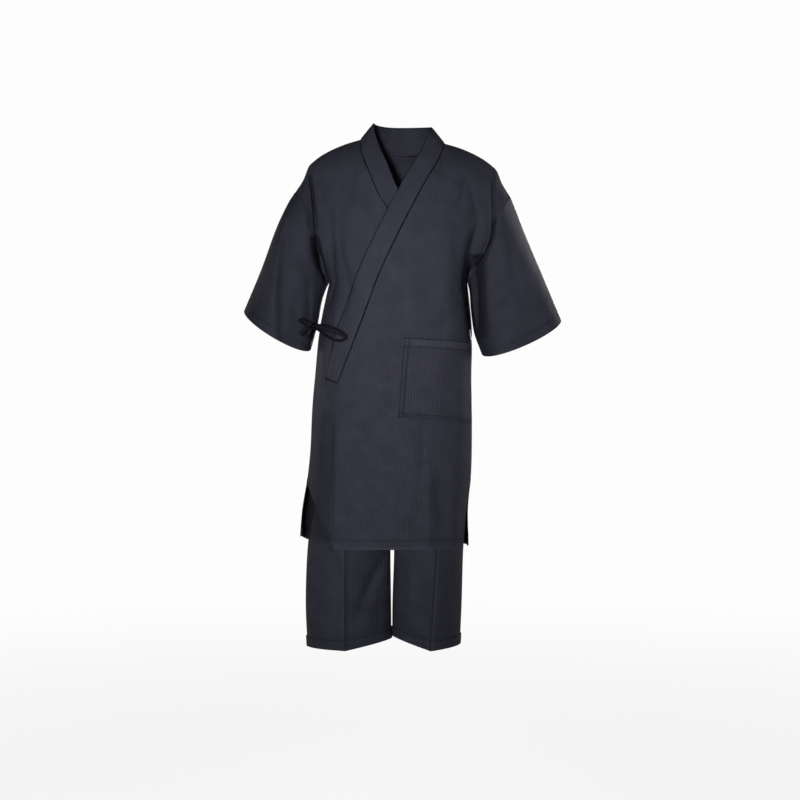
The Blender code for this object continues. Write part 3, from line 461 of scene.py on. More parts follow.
def smooth(keys, values, at):
    """Values on a smooth curve through the rising keys and their values."""
    slope = np.empty_like(values)
    slope[1:-1] = (values[2:] - values[:-2]) / (keys[2:] - keys[:-2])
    slope[0] = (values[1] - values[0]) / (keys[1] - keys[0])
    slope[-1] = (values[-1] - values[-2]) / (keys[-1] - keys[-2])
    at = np.clip(at, keys[0], keys[-1])
    i = np.clip(np.searchsorted(keys, at, side="right") - 1, 0, len(keys) - 2)
    step = keys[i + 1] - keys[i]
    s = (at - keys[i]) / step
    start = (2 * s ** 3 - 3 * s ** 2 + 1) * values[i] + (s ** 3 - 2 * s ** 2 + s) * step * slope[i]
    end = (3 * s ** 2 - 2 * s ** 3) * values[i + 1] + (s ** 3 - s ** 2) * step * slope[i + 1]
    return start + end


def read(rows, key, at, name):
    """A column of a table where its key column reaches some values."""
    return smooth(column(rows, key), column(rows, name), at)


def blend(a, b, weight):
    return a + (b - a) * weight


def ease(low, high, value):
    """0 below low, 1 above high and smooth between."""
    s = np.clip((value - low) / (high - low), 0.0, 1.0)
    return s * s * (3 - 2 * s)


def power(value, exponent):
    """A power that keeps its sign."""
    return np.sign(value) * np.abs(value) ** exponent


def points(x, y, z):
    return np.stack(np.broadcast_arrays(x, y, z), axis=-1).astype(float)


def unit(vectors):
    return vectors / np.maximum(np.linalg.norm(vectors, axis=-1, keepdims=True), 1e-12)


def squircle(angle, square):
    """Sine and cosine of an angle, on a rounded square of half width 1."""
    s, c = np.sin(angle), np.cos(angle)
    reach = (np.abs(s) ** square + np.abs(c) ** square) ** (-1 / square)
    return s * reach, c * reach


def route_lengths(route):
    """Distance along a route at each of its points."""
    steps = np.linalg.norm(np.diff(np.array(route, float), axis=0), axis=1)
    return np.concatenate([[0.0], np.cumsum(steps)])


SHOULDER_RUN = route_lengths([(row.out, row.drop) for row in SHOULDER_LINE])
SHOULDER_TURNS = SHOULDER_RUN / SHOULDER_RUN[-1]
NECK_TURN = SHOULDER_TURNS[2]


def shoulder_point(turn):
    """Points on the line over both shoulders."""
    out = smooth(SHOULDER_TURNS, column(SHOULDER_LINE, "out"), np.abs(turn))
    drop = smooth(SHOULDER_TURNS, column(SHOULDER_LINE, "drop"), np.abs(turn))
    tilt = SHOULDER_TILT * np.minimum(1.0, np.abs(turn) / NECK_TURN)
    return points(np.copysign(out, turn), 0.0, -drop - np.copysign(tilt, turn))


def armhole_rise(level):
    """Share of an armhole's height at a level: a point under the arm and round over the shoulder."""
    return ((1 - np.cos(math.pi * level)) / 2 + np.sin(math.pi * level / 2)) / 2


def ring_point(sections, face, z, turn):
    """Points at a height, from the right side seam (turn -1) round the front or back to the left."""
    across, deep = squircle(turn * math.pi / 2, BODY_SQUARE)
    x = read(sections, "z", z, "mid_x") + read(sections, "z", z, "half_width") * across
    return points(x, read(sections, "z", z, face + "_y") * deep, z)


def fold_depth(folds, turn, z):
    """Sum of the folds at places on the cloth."""
    total = np.zeros(np.broadcast(turn, z).shape)
    for fold in folds:
        along = np.clip((z - fold.low) / (fold.high - fold.low), 0.0, 1.0)
        across = (turn - fold.turn - fold.lean * along) / fold.width
        total += fold.depth * np.exp(-across * across) * np.sin(math.pi * along) ** 0.6
    return total


def top_form(face, level, turn):
    """Points on the top's outer form: level -1 at the hem, 0 at the armpits, 1 on the shoulders."""
    level, turn = np.broadcast_arrays(np.asarray(level, float), np.asarray(turn, float))
    front = face == "front"
    low = ring_point(TOP_SECTIONS, face, ARMPIT_Z + np.minimum(level, 0.0) * SKIRT_DROP, turn)
    high = shoulder_point(turn)
    chest = np.maximum(level, 0.0)
    up, out = squircle(chest * math.pi / 2, CHEST_SQUARE if front else SHOULDER_BACK_SQUARE)
    edge = turn ** 4
    rise = blend(up, armhole_rise(chest), edge)
    bulge = (-ARMHOLE_FRONT if front else ARMHOLE_BACK) * edge * np.sin(math.pi * chest)
    place = points(blend(low[..., 0], high[..., 0], rise),
                   blend(high[..., 1], low[..., 1], out) + bulge,
                   blend(low[..., 2], high[..., 2], rise))
    depth = fold_depth(FRONT_FOLDS if front else BACK_FOLDS, turn, place[..., 2])
    way = -1.0 if front else 1.0
    outward = points(np.sin(turn * math.pi / 2), way * np.cos(turn * math.pi / 2), 0.0)
    return place + outward * depth[..., None]


def top_normal(face, level, turn):
    """Outward direction of the top's form."""
    small = 0.004
    low, high = np.maximum(level - small, -1.0), np.minimum(level + small, 1.0)
    left, right = np.maximum(turn - small, -1.0), np.minimum(turn + small, 1.0)
    up = top_form(face, high, turn) - top_form(face, low, turn)
    across = top_form(face, level, right) - top_form(face, level, left)
    return unit(np.cross(across, up) if face == "front" else np.cross(up, across))


def crease_depth(creases, x, z):
    """Sum of the creases at places seen from the front or from behind."""
    total = np.zeros(np.shape(x))
    t = np.linspace(0.0, 1.0, CREASE_POINTS)
    fade = np.sin(math.pi * t) ** 0.6
    for crease in creases:
        line_x = (1 - t) ** 2 * crease.x0 + 2 * t * (1 - t) * crease.x1 + t * t * crease.x2
        line_z = (1 - t) ** 2 * crease.z0 + 2 * t * (1 - t) * crease.z1 + t * t * crease.z2
        reach = 3.2 * max(crease.left, crease.right)
        near = ((x > line_x.min() - reach) & (x < line_x.max() + reach)
                & (z > line_z.min() - reach) & (z < line_z.max() + reach))
        if not near.any():
            continue
        away_x = x[near][:, None] - line_x
        away = away_x ** 2 + (z[near][:, None] - line_z) ** 2
        nearest = away.argmin(axis=1)
        pick = np.arange(len(nearest))
        width = np.where(away_x[pick, nearest] < 0, crease.right, crease.left)
        total[near] += crease.depth * fade[nearest] * np.exp(-away[pick, nearest] / width ** 2)
    return total


def uneven(x, z):
    """The slight waves of worn cloth."""
    return sum(wave.height * np.sin(wave.across * x + wave.along * z + wave.phase) for wave in UNEVEN)


def creased(place, creases, facing, weight):
    """Points pressed in or out along Y by the creases; facing is -1 for the front, 1 for the back."""
    depth = crease_depth(creases, place[..., 0], place[..., 2]) + uneven(place[..., 0], place[..., 2])
    moved = place.copy()
    moved[..., 1] += facing * depth * weight
    return moved


def armhole_creased(place):
    """The front's points pressed in by the folds across the armhole seams, short of the middle."""
    depth = crease_depth(ARMHOLE_CREASES, place[..., 0], place[..., 2])
    moved = place.copy()
    pressed = np.minimum(place[..., 1] - depth, np.maximum(place[..., 1], ARMHOLE_STOP_Y))
    moved[..., 1] = np.where(depth < 0, pressed, place[..., 1])
    return moved


def on_top(face, level, turn, lift):
    """Points of the top as worn, moved out from its form by lift."""
    level, turn = np.broadcast_arrays(np.asarray(level, float), np.asarray(turn, float))
    lift = np.broadcast_to(np.asarray(lift, float), level.shape)
    place = top_form(face, level, turn) + top_normal(face, level, turn) * lift[..., None]
    held = ease(0.0, 0.07, 1 - level) * np.where(level > 0, ease(0.0, 0.06, 1 - np.abs(turn)), 1.0)
    seam = ease(0.0, 0.04, 1 - np.abs(turn))
    if face == "back":
        return creased(place, BACK_CREASES, 1, held * seam)
    place = armhole_creased(place)
    return creased(place, FRONT_CREASES, -1, held * seam)


def halve(low, high, too_low, steps=20):
    """Where a test turns from true to false between two values, for a whole array."""
    for _ in range(steps):
        middle = (low + high) / 2
        below = too_low(middle)
        low, high = np.where(below, middle, low), np.where(below, high, middle)
    return (low + high) / 2


def level_at(turn, z):
    """Level at which the front reaches a height."""
    straight = np.maximum((z - ARMPIT_Z) / SKIRT_DROP, -1.0)
    bent = halve(np.zeros(np.shape(z)), np.ones(np.shape(z)),
                 lambda level: top_form("front", level, turn)[..., 2] < z)
    return np.where(z <= ARMPIT_Z, straight, bent)


def front_place(x, z):
    """Level and turn of the front at places seen from the front."""
    turn = halve(-np.ones(np.shape(x)), np.ones(np.shape(x)),
                 lambda middle: top_form("front", level_at(middle, z), middle)[..., 0] < x, 16)
    return level_at(turn, z), turn


def seam_x(seam, edge, z):
    """Inner boundary of a front: its free edge, then its collar seam."""
    return np.where(z < seam[0].z, read(edge, "z", z, "x"), read(seam, "z", z, "x"))


def inner_turn(seam, edge, level, gap):
    """Turn at which rows of a front reach their inner boundary."""
    def before(turn):
        place = top_form("front", level, turn)
        return place[..., 0] < seam_x(seam, edge, place[..., 2]) + gap
    return halve(np.full(np.shape(level), -0.999), np.full(np.shape(level), 0.999), before)


def vent_turn(level, name):
    """Turn of the side edge of a row, which hangs in beside the slit."""
    hanging = np.minimum(read(VENT_ROWS, "z", ARMPIT_Z + np.minimum(level, 0.0) * SKIRT_DROP, name), 1.0)
    return np.where(level > 0, 1.0, hanging)


def tuck(z):
    """How far the right front's edge and collar lie inside the left ones at a height."""
    return -UNDER * (1 - ease(-0.115, -0.060, z))


def back_neck_level(turn):
    """Level at which the back meets the collar seam."""
    reach = np.clip(turn / NECK_TURN, -1.0, 1.0)
    y = NECK_BACK_Y * np.sqrt(1 - reach * reach)
    inside = halve(np.full(np.shape(turn), 0.3), np.ones(np.shape(turn)),
                   lambda level: top_form("back", level, turn)[..., 1] > y)
    return np.where(np.abs(turn) > NECK_TURN - 1e-6, 1.0, inside)


# ---------------------------------------------------------------- stops across and along a panel


Stops = namedtuple("Stops", "share low high lift cloth")
EDGE_ROUND = 0.0008     # radius of a turned edge
SEAM_TURN = 0.6         # what a seam's allowance is of a free edge's
FRONT_PITCH = 0.62      # the columns' pitch, as shares of the cloth's
SLEEVE_PITCH = 0.85
POCKET_PITCH = 0.9
CLOSER = 0.55           # how much closer a front's columns stand at the armhole, below 1


def turned_stops(length, pitch, low_turn, high_turn):
    """Stops across a panel whose edges are turned in.

    share runs over the panel, low and high are metres in from its two edges, lift is the way inside
    and cloth is the way along the cloth.
    """
    arcs = np.radians((45.0, 90.0, 135.0))

    def fold(turn_length):
        inside = np.linspace(turn_length, EDGE_ROUND, max(2, round(turn_length / pitch) + 1))
        inward = np.concatenate([inside, EDGE_ROUND * (1 - np.sin(arcs))])
        lift = np.concatenate([np.full(len(inside), -2 * EDGE_ROUND), -EDGE_ROUND * (1 + np.cos(arcs))])
        way = np.concatenate([inside, EDGE_ROUND * (1 - arcs / (math.pi / 2)) * 0.5])
        return inward, lift, -way

    number = max(2, round(length / pitch))
    share = np.linspace(0.0, 1.0, number + 1)
    low, high = np.full(number + 1, EDGE_ROUND), np.full(number + 1, EDGE_ROUND)
    lift, cloth = np.zeros(number + 1), share * length
    if low_turn:
        inward, inside, way = fold(low_turn)
        share = np.concatenate([np.zeros(len(inward)), share])
        low = np.concatenate([inward, low])
        high = np.concatenate([np.zeros(len(inward)), high])
        lift = np.concatenate([inside, lift])
        cloth = np.concatenate([way, cloth])
    if high_turn:
        inward, inside, way = fold(high_turn)
        share = np.concatenate([share, np.ones(len(inward))])
        low = np.concatenate([low, np.zeros(len(inward))])
        high = np.concatenate([high, inward[::-1]])
        lift = np.concatenate([lift, inside[::-1]])
        cloth = np.concatenate([cloth, length - way[::-1]])
    return Stops(share, low, high, lift, cloth)


def laced(level):
    """How far the armhole seam stands open: a hair at the bottom and widest over the shoulder."""
    return ease(0.72, 0.97, level)


def top_levels(settings):
    """Rows of a panel of the top: the hem turned up, then level -1 to 1 in even steps of cloth."""
    length = SKIRT_DROP + CHEST_LENGTH
    stops = turned_stops(length, settings.pitch, settings.hem_depth, settings.turn_in * SEAM_TURN)
    way = stops.share * length + stops.low * (stops.share < 1) - stops.high * (stops.share >= 1)
    level = np.where(way < SKIRT_DROP, way / SKIRT_DROP - 1, (way - SKIRT_DROP) / CHEST_LENGTH)
    return level, stops.lift, stops.cloth


# ---------------------------------------------------------------- making pieces


def add_object(name, mesh, finish):
    """An object at the origin that rides on the garment's one body."""
    mesh.materials.append(finish)
    mesh.shade_smooth()
    piece = bpy.data.objects.new(name, mesh)
    bpy.context.scene.collection.objects.link(piece)
    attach(piece, "root")
    return piece


def grid_mesh(name, place, uv, closed):
    """A mesh whose grid lies on place[row, column], with its thread directions in uv."""
    rows, columns = place.shape[0] - 1, place.shape[1] - 1
    grid = bmesh.new()
    bmesh.ops.create_grid(grid, x_segments=columns, y_segments=rows, size=0.5)
    thread = grid.loops.layers.uv.new("Thread")
    for vertex in grid.verts:
        i = round((vertex.co.y + 0.5) * rows)
        j = round((vertex.co.x + 0.5) * columns)
        for loop in vertex.link_loops:
            loop[thread].uv = uv[i, j]
        vertex.co = place[i, j]
    if closed:
        bmesh.ops.remove_doubles(grid, verts=grid.verts, dist=0.00002)
    mesh = bpy.data.meshes.new(name)
    grid.to_mesh(mesh)
    grid.free()
    return mesh


def add_cloth(name, place, uv, finish, thickness, closed=False):
    """A layer of cloth on place, thickened inwards."""
    piece = add_object(name, grid_mesh(name, place, uv, closed), finish)
    wall = piece.modifiers.new("Wall", "SOLIDIFY")
    wall.thickness = thickness
    wall.offset = -1
    return piece


def add_band(name, centre, half_thick, across_uv, along_uv, finish):
    """A closed flat band: its middle surface centre[row, column], thickened both ways and rounded."""
    along = np.gradient(centre, axis=0)
    across = np.gradient(centre, axis=1)
    normal = unit(np.cross(across, along))
    columns = centre.shape[1]
    bow = np.linspace(-1.0, 1.0, columns)
    thick = half_thick * np.sqrt(np.maximum(1 - np.abs(bow) ** 8, 0.0))
    ends = np.ones(centre.shape[0])
    ends[0] = ends[-1] = 0.0
    reach = normal * (thick[None, :] * ends[:, None])[..., None]
    outer, inner = centre + reach, centre - reach
    loop = np.concatenate([outer, inner[:, ::-1], outer[:, :1]], axis=1)
    u = np.concatenate([across_uv, 2 * across_uv[-1] - across_uv[::-1], [2 * across_uv[-1]]])
    uv = np.stack(np.meshgrid(u, along_uv), axis=-1)
    return add_object(name, grid_mesh(name, loop, uv, closed=True), finish)


def thread_shape():
    """One short capsule of thread along Z, from 0 to 1."""
    shape = bmesh.new()
    bmesh.ops.create_cone(shape, cap_ends=True, segments=6, radius1=0.62, radius2=0.62, depth=1.0,
                          matrix=Matrix.Translation((0, 0, 0.5)))
    ends = [face for face in shape.faces if len(face.verts) == 6]
    for face in ends:
        inset = bmesh.ops.extrude_discrete_faces(shape, faces=[face])["faces"][0]
        way = 0.10 if inset.calc_center_median().z > 0.5 else -0.10
        for vertex in inset.verts:
            vertex.co.x *= 0.35
            vertex.co.y *= 0.35
            vertex.co.z += way
    belt = [edge for edge in shape.edges
            if abs(edge.verts[0].co.z - edge.verts[1].co.z) > 0.9]
    cut = bmesh.ops.subdivide_edges(shape, edges=belt, cuts=1)
    for item in cut["geom_inner"]:
        if isinstance(item, bmesh.types.BMVert):
            item.co.x *= 1.6
            item.co.y *= 1.6
    mesh = bpy.data.meshes.new("thread_shape")
    shape.to_mesh(mesh)
    shape.free()
    return mesh


def add_threads(name, runs, radius, finish):
    """Threads that each go from one point to another, joined in one mesh."""
    shape = thread_shape()
    size = len(shape.vertices)
    joined = bmesh.new()
    for start, end in runs:
        way = Vector(end) - Vector(start)
        joined.from_mesh(shape)
        joined.verts.ensure_lookup_table()
        turn = way.to_track_quat("Z", "X").to_matrix().to_4x4()
        scale = Matrix.Diagonal((radius, radius, way.length, 1.0))
        move = Matrix.Translation(start) @ turn @ scale
        bmesh.ops.transform(joined, matrix=move, verts=joined.verts[-size:])
    mesh = bpy.data.meshes.new(name)
    joined.to_mesh(mesh)
    joined.free()
    bpy.data.meshes.remove(shape)
    return add_object(name, mesh, finish)


STITCH_SHARE = 0.72     # of the way from one stitch to the next that a stitch covers


def stitch_runs(line, pitch):
    """Start and end of each stitch along a line of points."""
    way = route_lengths(line)
    number = max(1, int(way[-1] / pitch))
    starts = np.arange(number) * pitch
    ends = starts + pitch * STITCH_SHARE

    def at(key):
        return np.stack([np.interp(key, way, line[:, i]) for i in range(3)], axis=-1)

    return list(zip(at(starts), at(ends)))


# ---------------------------------------------------------------- finishes


class Wire:
    """One value of a finish's nodes, for sums written as Python."""

    def __init__(self, finish, socket):
        self.finish = finish
        self.socket = socket

    def _sum(self, operation, first, second):
        node = self.finish.node("ShaderNodeMath", {"operation": operation}, {0: first, 1: second})
        return self.finish.wire(node)

    def __add__(self, other):
        return self._sum("ADD", self, other)

    __radd__ = __add__

    def __sub__(self, other):
        return self._sum("SUBTRACT", self, other)

    def __rsub__(self, other):
        return self._sum("SUBTRACT", other, self)

    def __mul__(self, other):
        return self._sum("MULTIPLY", self, other)

    __rmul__ = __mul__

    def __truediv__(self, other):
        return self._sum("DIVIDE", self, other)

    def __pow__(self, other):
        return self._sum("POWER", self, other)


class Nodes:
    """The nodes of a material or of the studio."""

    def __init__(self, tree):
        self.tree = tree

    def node(self, kind, settings=None, values=None):
        """A node of a kind, with its settings and the values or wires of its sockets."""
        node = self.tree.nodes.new(kind)
        for key, value in (settings or {}).items():
            setattr(node, key, value)
        for key, value in (values or {}).items():
            self.link(value, node.inputs[key])
        return node

    def link(self, value, socket):
        if isinstance(value, Wire):
            self.tree.links.new(value.socket, socket)
        else:
            socket.default_value = value

    def wire(self, node, output=0):
        return Wire(self, node.outputs[output])

    def function(self, operation, value):
        """A Math node of one value, such as SINE or ROUND."""
        return self.wire(self.node("ShaderNodeMath", {"operation": operation}, {0: value}))

    def noise(self, vector, scale, detail=2.0, roughness=0.5):
        node = self.node("ShaderNodeTexNoise", {"noise_dimensions": "3D"},
                         {"Vector": vector, "Scale": scale, "Detail": detail, "Roughness": roughness})
        return self.wire(node, "Fac")

    def mixed(self, factor, first, second):
        """A mix of two colours."""
        node = self.node("ShaderNodeMix", {"data_type": "RGBA", "clamp_factor": True},
                         {"Factor": factor})
        for socket, colour in zip([s for s in node.inputs if s.type == "RGBA"], (first, second)):
            self.link(colour, socket)
        return self.wire(node, [i for i, s in enumerate(node.outputs) if s.type == "RGBA"][0])


class Finish(Nodes):
    """A material and its nodes."""

    def __init__(self, name):
        self.material = bpy.data.materials.new(name)
        self.material.use_nodes = True
        super().__init__(self.material.node_tree)
        self.shader = self.tree.nodes["Principled BSDF"]

    def set(self, **sockets):
        """Values or wires of the shader's own sockets, with _ for a space in their names."""
        for name, value in sockets.items():
            self.link(value, self.shader.inputs[name.replace("_", " ")])


def solid(colour):
    return (*colour, 1.0)


# A line sewn or pressed into a piece, its shadow painted along it and cut into the bump as a groove,
# or a wide band of painted shade or painted highlight: where it lies along U or V of its thread or
# along X or Z of the object, half its width, its shade, which is below 0 where it is painted darker
# and above 0 where it is painted lighter, and its lean along Z from the foot of the trousers.
Mark = namedtuple("Mark", "along at half shade lean", defaults=(0.0,))
PRESSED_FOOT_Z = -1.16
MARK_HALF = 0.0012      # half the width of the painted shadow along a sewn or pressed line
# how dark the painted shadow along a sewn or pressed line is
MARK_SHADE = -0.60
HEM_STITCH_IN = 0.002   # from the top of a turned hem down to its line of stitches


def marked(finish, ways, marks):
    """Painted shade and light, and groove depth, of a piece's marks."""
    shade, depth = 0.0, 0.0
    for mark in marks:
        way = ways[mark.along] - mark.at
        if mark.lean:
            way = way - (ways["Z"] - PRESSED_FOOT_Z) * mark.lean
        line = finish.node("ShaderNodeMapRange", {"interpolation_type": "SMOOTHSTEP"},
                           {"Value": finish.function("ABSOLUTE", way), "From Min": mark.half * 0.5,
                            "From Max": mark.half * 1.5, "To Min": 1.0, "To Max": 0.0})
        shade = finish.wire(line) * mark.shade + shade
        depth = finish.wire(line) * min(mark.shade, 0.0) + depth
    return shade, depth


YARN_PITCHES = (0.00062, 0.00070)   # of the weave's own threads, across and along


def ripple_cloth(name, dark, light, pitch, depth, marks):
    """Cotton woven in fine puckered ribs that run along the thread's V."""
    finish = Finish(name)
    uv = finish.wire(finish.node("ShaderNodeUVMap", {"uv_map": "Thread"}), "UV")
    parts = finish.node("ShaderNodeSeparateXYZ", None, {"Vector": uv})
    u, v = finish.wire(parts, "X"), finish.wire(parts, "Y")
    object_parts = finish.node("ShaderNodeSeparateXYZ", None,
                               {"Vector": finish.wire(finish.node("ShaderNodeTexCoord"), "Object")})
    ways = {"U": u, "V": v, "X": finish.wire(object_parts, "X"), "Z": finish.wire(object_parts, "Z")}
    # painted shade and highlights of the marks, and their grooves
    shade, groove = marked(finish, ways, marks)

    wander = finish.noise(uv, 70.0, 2.0) - 0.5
    sway = finish.noise(uv, 16.0, 1.0) - 0.5
    across = u / pitch + wander * 0.55 + sway * 0.7
    rib = finish.function("SINE", across * (2 * math.pi)) * 0.5 + 0.5
    number = finish.function("FLOOR", across + 0.25)
    stagger = number * math.pi + wander * 5.0
    pucker = finish.function("SINE", v / (pitch * 1.15) * (2 * math.pi) + stagger) * 0.5 + 0.5
    crest = rib ** 1.6
    bead = crest * pucker

    fine_u = finish.function("SINE", u * (2 * math.pi / YARN_PITCHES[0]))
    fine_v = finish.function("SINE", v * (2 * math.pi / YARN_PITCHES[1]))
    slub = finish.noise(uv, 900.0, 2.0, 0.6)
    thread = fine_u * fine_v * 0.5 + slub
    cloud = finish.noise(uv, 26.0, 3.0, 0.55)

    height = crest * 0.45 + bead * 0.75 + thread * 0.10 + groove * 1.6
    relief = finish.node("ShaderNodeBump", None,
                         {"Strength": 0.75 * depth, "Distance": 0.0009, "Height": height})
    # the tone carries the marks' painted shade and highlights
    tone = bead * 0.55 + crest * 0.15 + slub * 0.35 + (cloud - 0.5) * 0.6 + shade
    finish.set(
        Base_Color=finish.mixed(tone, solid(dark), solid(light)),
        Roughness=0.80 - bead * 0.16 + (slub - 0.5) * 0.10,
        Specular_IOR_Level=0.02,
        Normal=finish.wire(relief, "Normal"),
    )
    return finish.material


def tie_cloth(name, colour, light):
    """Close black cotton of the ties and the sewing thread."""
    finish = Finish(name)
    place = finish.wire(finish.node("ShaderNodeTexCoord"), "Object")
    yarn = finish.noise(place, 1600.0, 2.0, 0.6)
    cloud = finish.noise(place, 160.0, 2.0)
    relief = finish.node("ShaderNodeBump", None,
                         {"Strength": 0.6, "Distance": 0.0004, "Height": yarn + cloud})
    finish.set(
        Base_Color=finish.mixed(yarn * 0.6 + cloud * 0.3, solid(colour), solid(light)),
        Roughness=0.70 + (yarn - 0.5) * 0.2,
        Specular_IOR_Level=0.0,
        Normal=finish.wire(relief, "Normal"),
    )
    return finish.material


FINISHES = {}


def finish_of(settings, name):
    """The named finish, made when it is first asked for."""
    if name not in FINISHES:
        dark, light = tuple(settings.charcoal), tuple(settings.charcoal_light)
        black = tuple(settings.black)
        if name == "tie":
            FINISHES[name] = tie_cloth("tie_cotton", black, black)
        elif name == "thread":
            FINISHES[name] = tie_cloth("sewing_thread", black, dark)
        else:
            depth = 0.8 if name == "collar" else 1.0
            FINISHES[name] = ripple_cloth(name + "_cotton", dark, light, settings.rib_pitch, depth,
                                          marks_of(settings, name))
    return FINISHES[name]


def marks_of(settings, name):
    """Painted shadow along one cut's sewn and pressed lines, and its bands of painted shade and light."""
    hem = settings.hem_depth - HEM_STITCH_IN
    wide, tall = POCKET_SIZE
    line, shade = MARK_HALF, MARK_SHADE
    # painted shadow along a hem's line of stitches, and a painted highlight along its folded edge
    hem_shadow_and_highlight = (Mark("V", hem, line, shade / 2), Mark("V", 0.002, 0.003, 0.25))
    # painted shadow along a cuff's line of stitches
    cuff_stitch_shadow = (Mark("U", SLEEVE_LENGTH - hem, line, shade * 0.6),)
    marks = {
        "top": hem_shadow_and_highlight,
        # painted soft shade where it comes out from under the left front
        "front_right": hem_shadow_and_highlight + (Mark("Z", -0.780, 0.150, -0.26),),
        # painted shadow along the pocket's lines of stitches and its mouth's edge, and a painted highlight
        # on its hemmed mouth
        "pocket": (
            Mark("U", 0.003, line, shade), Mark("U", 0.010, line, shade),
            Mark("U", wide - 0.003, line, shade), Mark("V", 0.003, line, shade),
            Mark("V", 0.010, line, shade), Mark("V", tall - hem, line, shade),
            Mark("V", tall - 0.001, line, shade), Mark("V", tall - hem / 2, hem * 0.4, 0.16)),
        # painted soft shade along the underside of the left sleeve, with a painted highlight along its
        # front near the upper line, and painted shade along the upper line of the right one
        "sleeve_left": cuff_stitch_shadow + (
            Mark("V", SLEEVE_ROUND * 0.50, SLEEVE_ROUND * 0.12, -0.50),
            Mark("V", SLEEVE_ROUND * 0.88, SLEEVE_ROUND * 0.06, 0.20)),
        "sleeve_right": cuff_stitch_shadow + (
            Mark("V", 0.0, SLEEVE_ROUND * 0.11, -0.30),
            Mark("V", SLEEVE_ROUND, SLEEVE_ROUND * 0.11, -0.30)),
        # painted shadow along the hem's line of stitches and along the line pressed down the middle, with
        # a painted highlight beside it
        "leg_left": (
            Mark("V", hem, line, shade), Mark("X", 0.0600, line, shade, 0.062),
            Mark("X", 0.0640, 0.003, 0.20, 0.062)),
        # and a painted shadow on the right leg where the skirt hangs over it, seen through the slit
        "leg_right": (
            Mark("V", hem, line, shade), Mark("Z", -0.860, 0.042, -0.72),
            Mark("X", -0.1285, line, shade, 0.002),
            Mark("X", -0.1330, 0.003, 0.12, 0.002)),
    }
    return marks.get(name, ())


# ---------------------------------------------------------------- the top


def front_panel(settings, seam, edge, gap, vent, side):
    """Points and thread of a front, from its inner edge to its side, or the other way on the right."""
    level, row_lift, row_cloth = top_levels(settings)
    inner = inner_turn(seam, edge, level, gap)
    width = LEFT_FRONT_WIDTH if side > 0 else RIGHT_FRONT_WIDTH
    stops = turned_stops(width, settings.pitch * FRONT_PITCH, settings.turn_in, settings.turn_in)
    out = stops.share if side > 0 else 1 - stops.share
    out = out + CLOSER * out * (1 - out)
    stops = stops._replace(share=out if side > 0 else 1 - out)
    lace = settings.lace_gap / 2 / TURN_LENGTH * laced(level)
    outer = side * (vent_turn(level, vent) - SIDE_GAP - lace)
    first, last = (inner, outer) if side > 0 else (outer, inner)
    turn = blend(first[:, None], last[:, None], stops.share[None, :])
    turn = turn + (stops.low * (1 - stops.share) - stops.high * stops.share)[None, :] / TURN_LENGTH
    turn = np.clip(turn, -1.0, 1.0)
    level = np.broadcast_to(level[:, None], turn.shape)
    level = np.minimum(level, 1 - SHOULDER_GAP)
    lift = row_lift[:, None] + stops.lift[None, :]
    if side < 0:
        z = top_form("front", level, turn)[..., 2]
        lift = lift + tuck(z) * ease(-0.97, -0.80, turn)
    uv = points(turn * TURN_LENGTH, row_cloth[:, None], 0.0)[..., :2]
    return on_top("front", level, turn, lift), uv


class JINBEI_OT_fronts(bpy.types.Operator):
    """Make the two fronts with their turned edges and hems"""
    bl_idname = "jinbei.fronts"
    bl_label = "Fronts"

    def execute(self, context):
        settings = context.scene.jinbei
        place, uv = front_panel(settings, LEFT_SEAM, LEFT_EDGE, SEAM * 1.2, "left", 1)
        left = add_cloth("front_left_cloth", place, uv, finish_of(settings, "top"),
                         settings.cloth_thickness)
        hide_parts("front_left")
        place, uv = front_panel(settings, RIGHT_SEAM, RIGHT_EDGE, -SEAM * 1.2, "right", -1)
        right = add_cloth("front_right_cloth", place, uv, finish_of(settings, "front_right"),
                          settings.cloth_thickness)
        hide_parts("front_right")
        return {"FINISHED"}


class JINBEI_OT_back(bpy.types.Operator):
    """Make the back in one piece, up to the collar and over the shoulders"""
    bl_idname = "jinbei.back"
    bl_label = "Back"

    def execute(self, context):
        settings = context.scene.jinbei
        level, row_lift, row_cloth = top_levels(settings)
        stops = turned_stops(BACK_WIDTH, settings.pitch, settings.turn_in, settings.turn_in)
        lace = settings.lace_gap / 2 / TURN_LENGTH * laced(level)
        side = (1 - SIDE_GAP - lace)[:, None]
        turn = blend(side, -side, stops.share[None, :])
        turn = turn + (stops.high * stops.share - stops.low * (1 - stops.share))[None, :] / TURN_LENGTH
        turn = np.clip(turn, -1.0, 1.0)
        neck = back_neck_level(turn) - SHOULDER_GAP * ease(0.9, 1.1, np.abs(turn) / NECK_TURN)
        raised = 1 - BACK_HEM_RISE * ease(0.45, 1.0, -turn)
        level = level[:, None] * np.where(level[:, None] > 0, neck, raised)
        lift = row_lift[:, None] + stops.lift[None, :]
        place = on_top("back", level, turn, lift)
        uv = points(-turn * TURN_LENGTH, row_cloth[:, None], 0.0)[..., :2]
        back = add_cloth("back_cloth", place, uv, finish_of(settings, "top"),
                         settings.cloth_thickness)
        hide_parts("back")
        return {"FINISHED"}


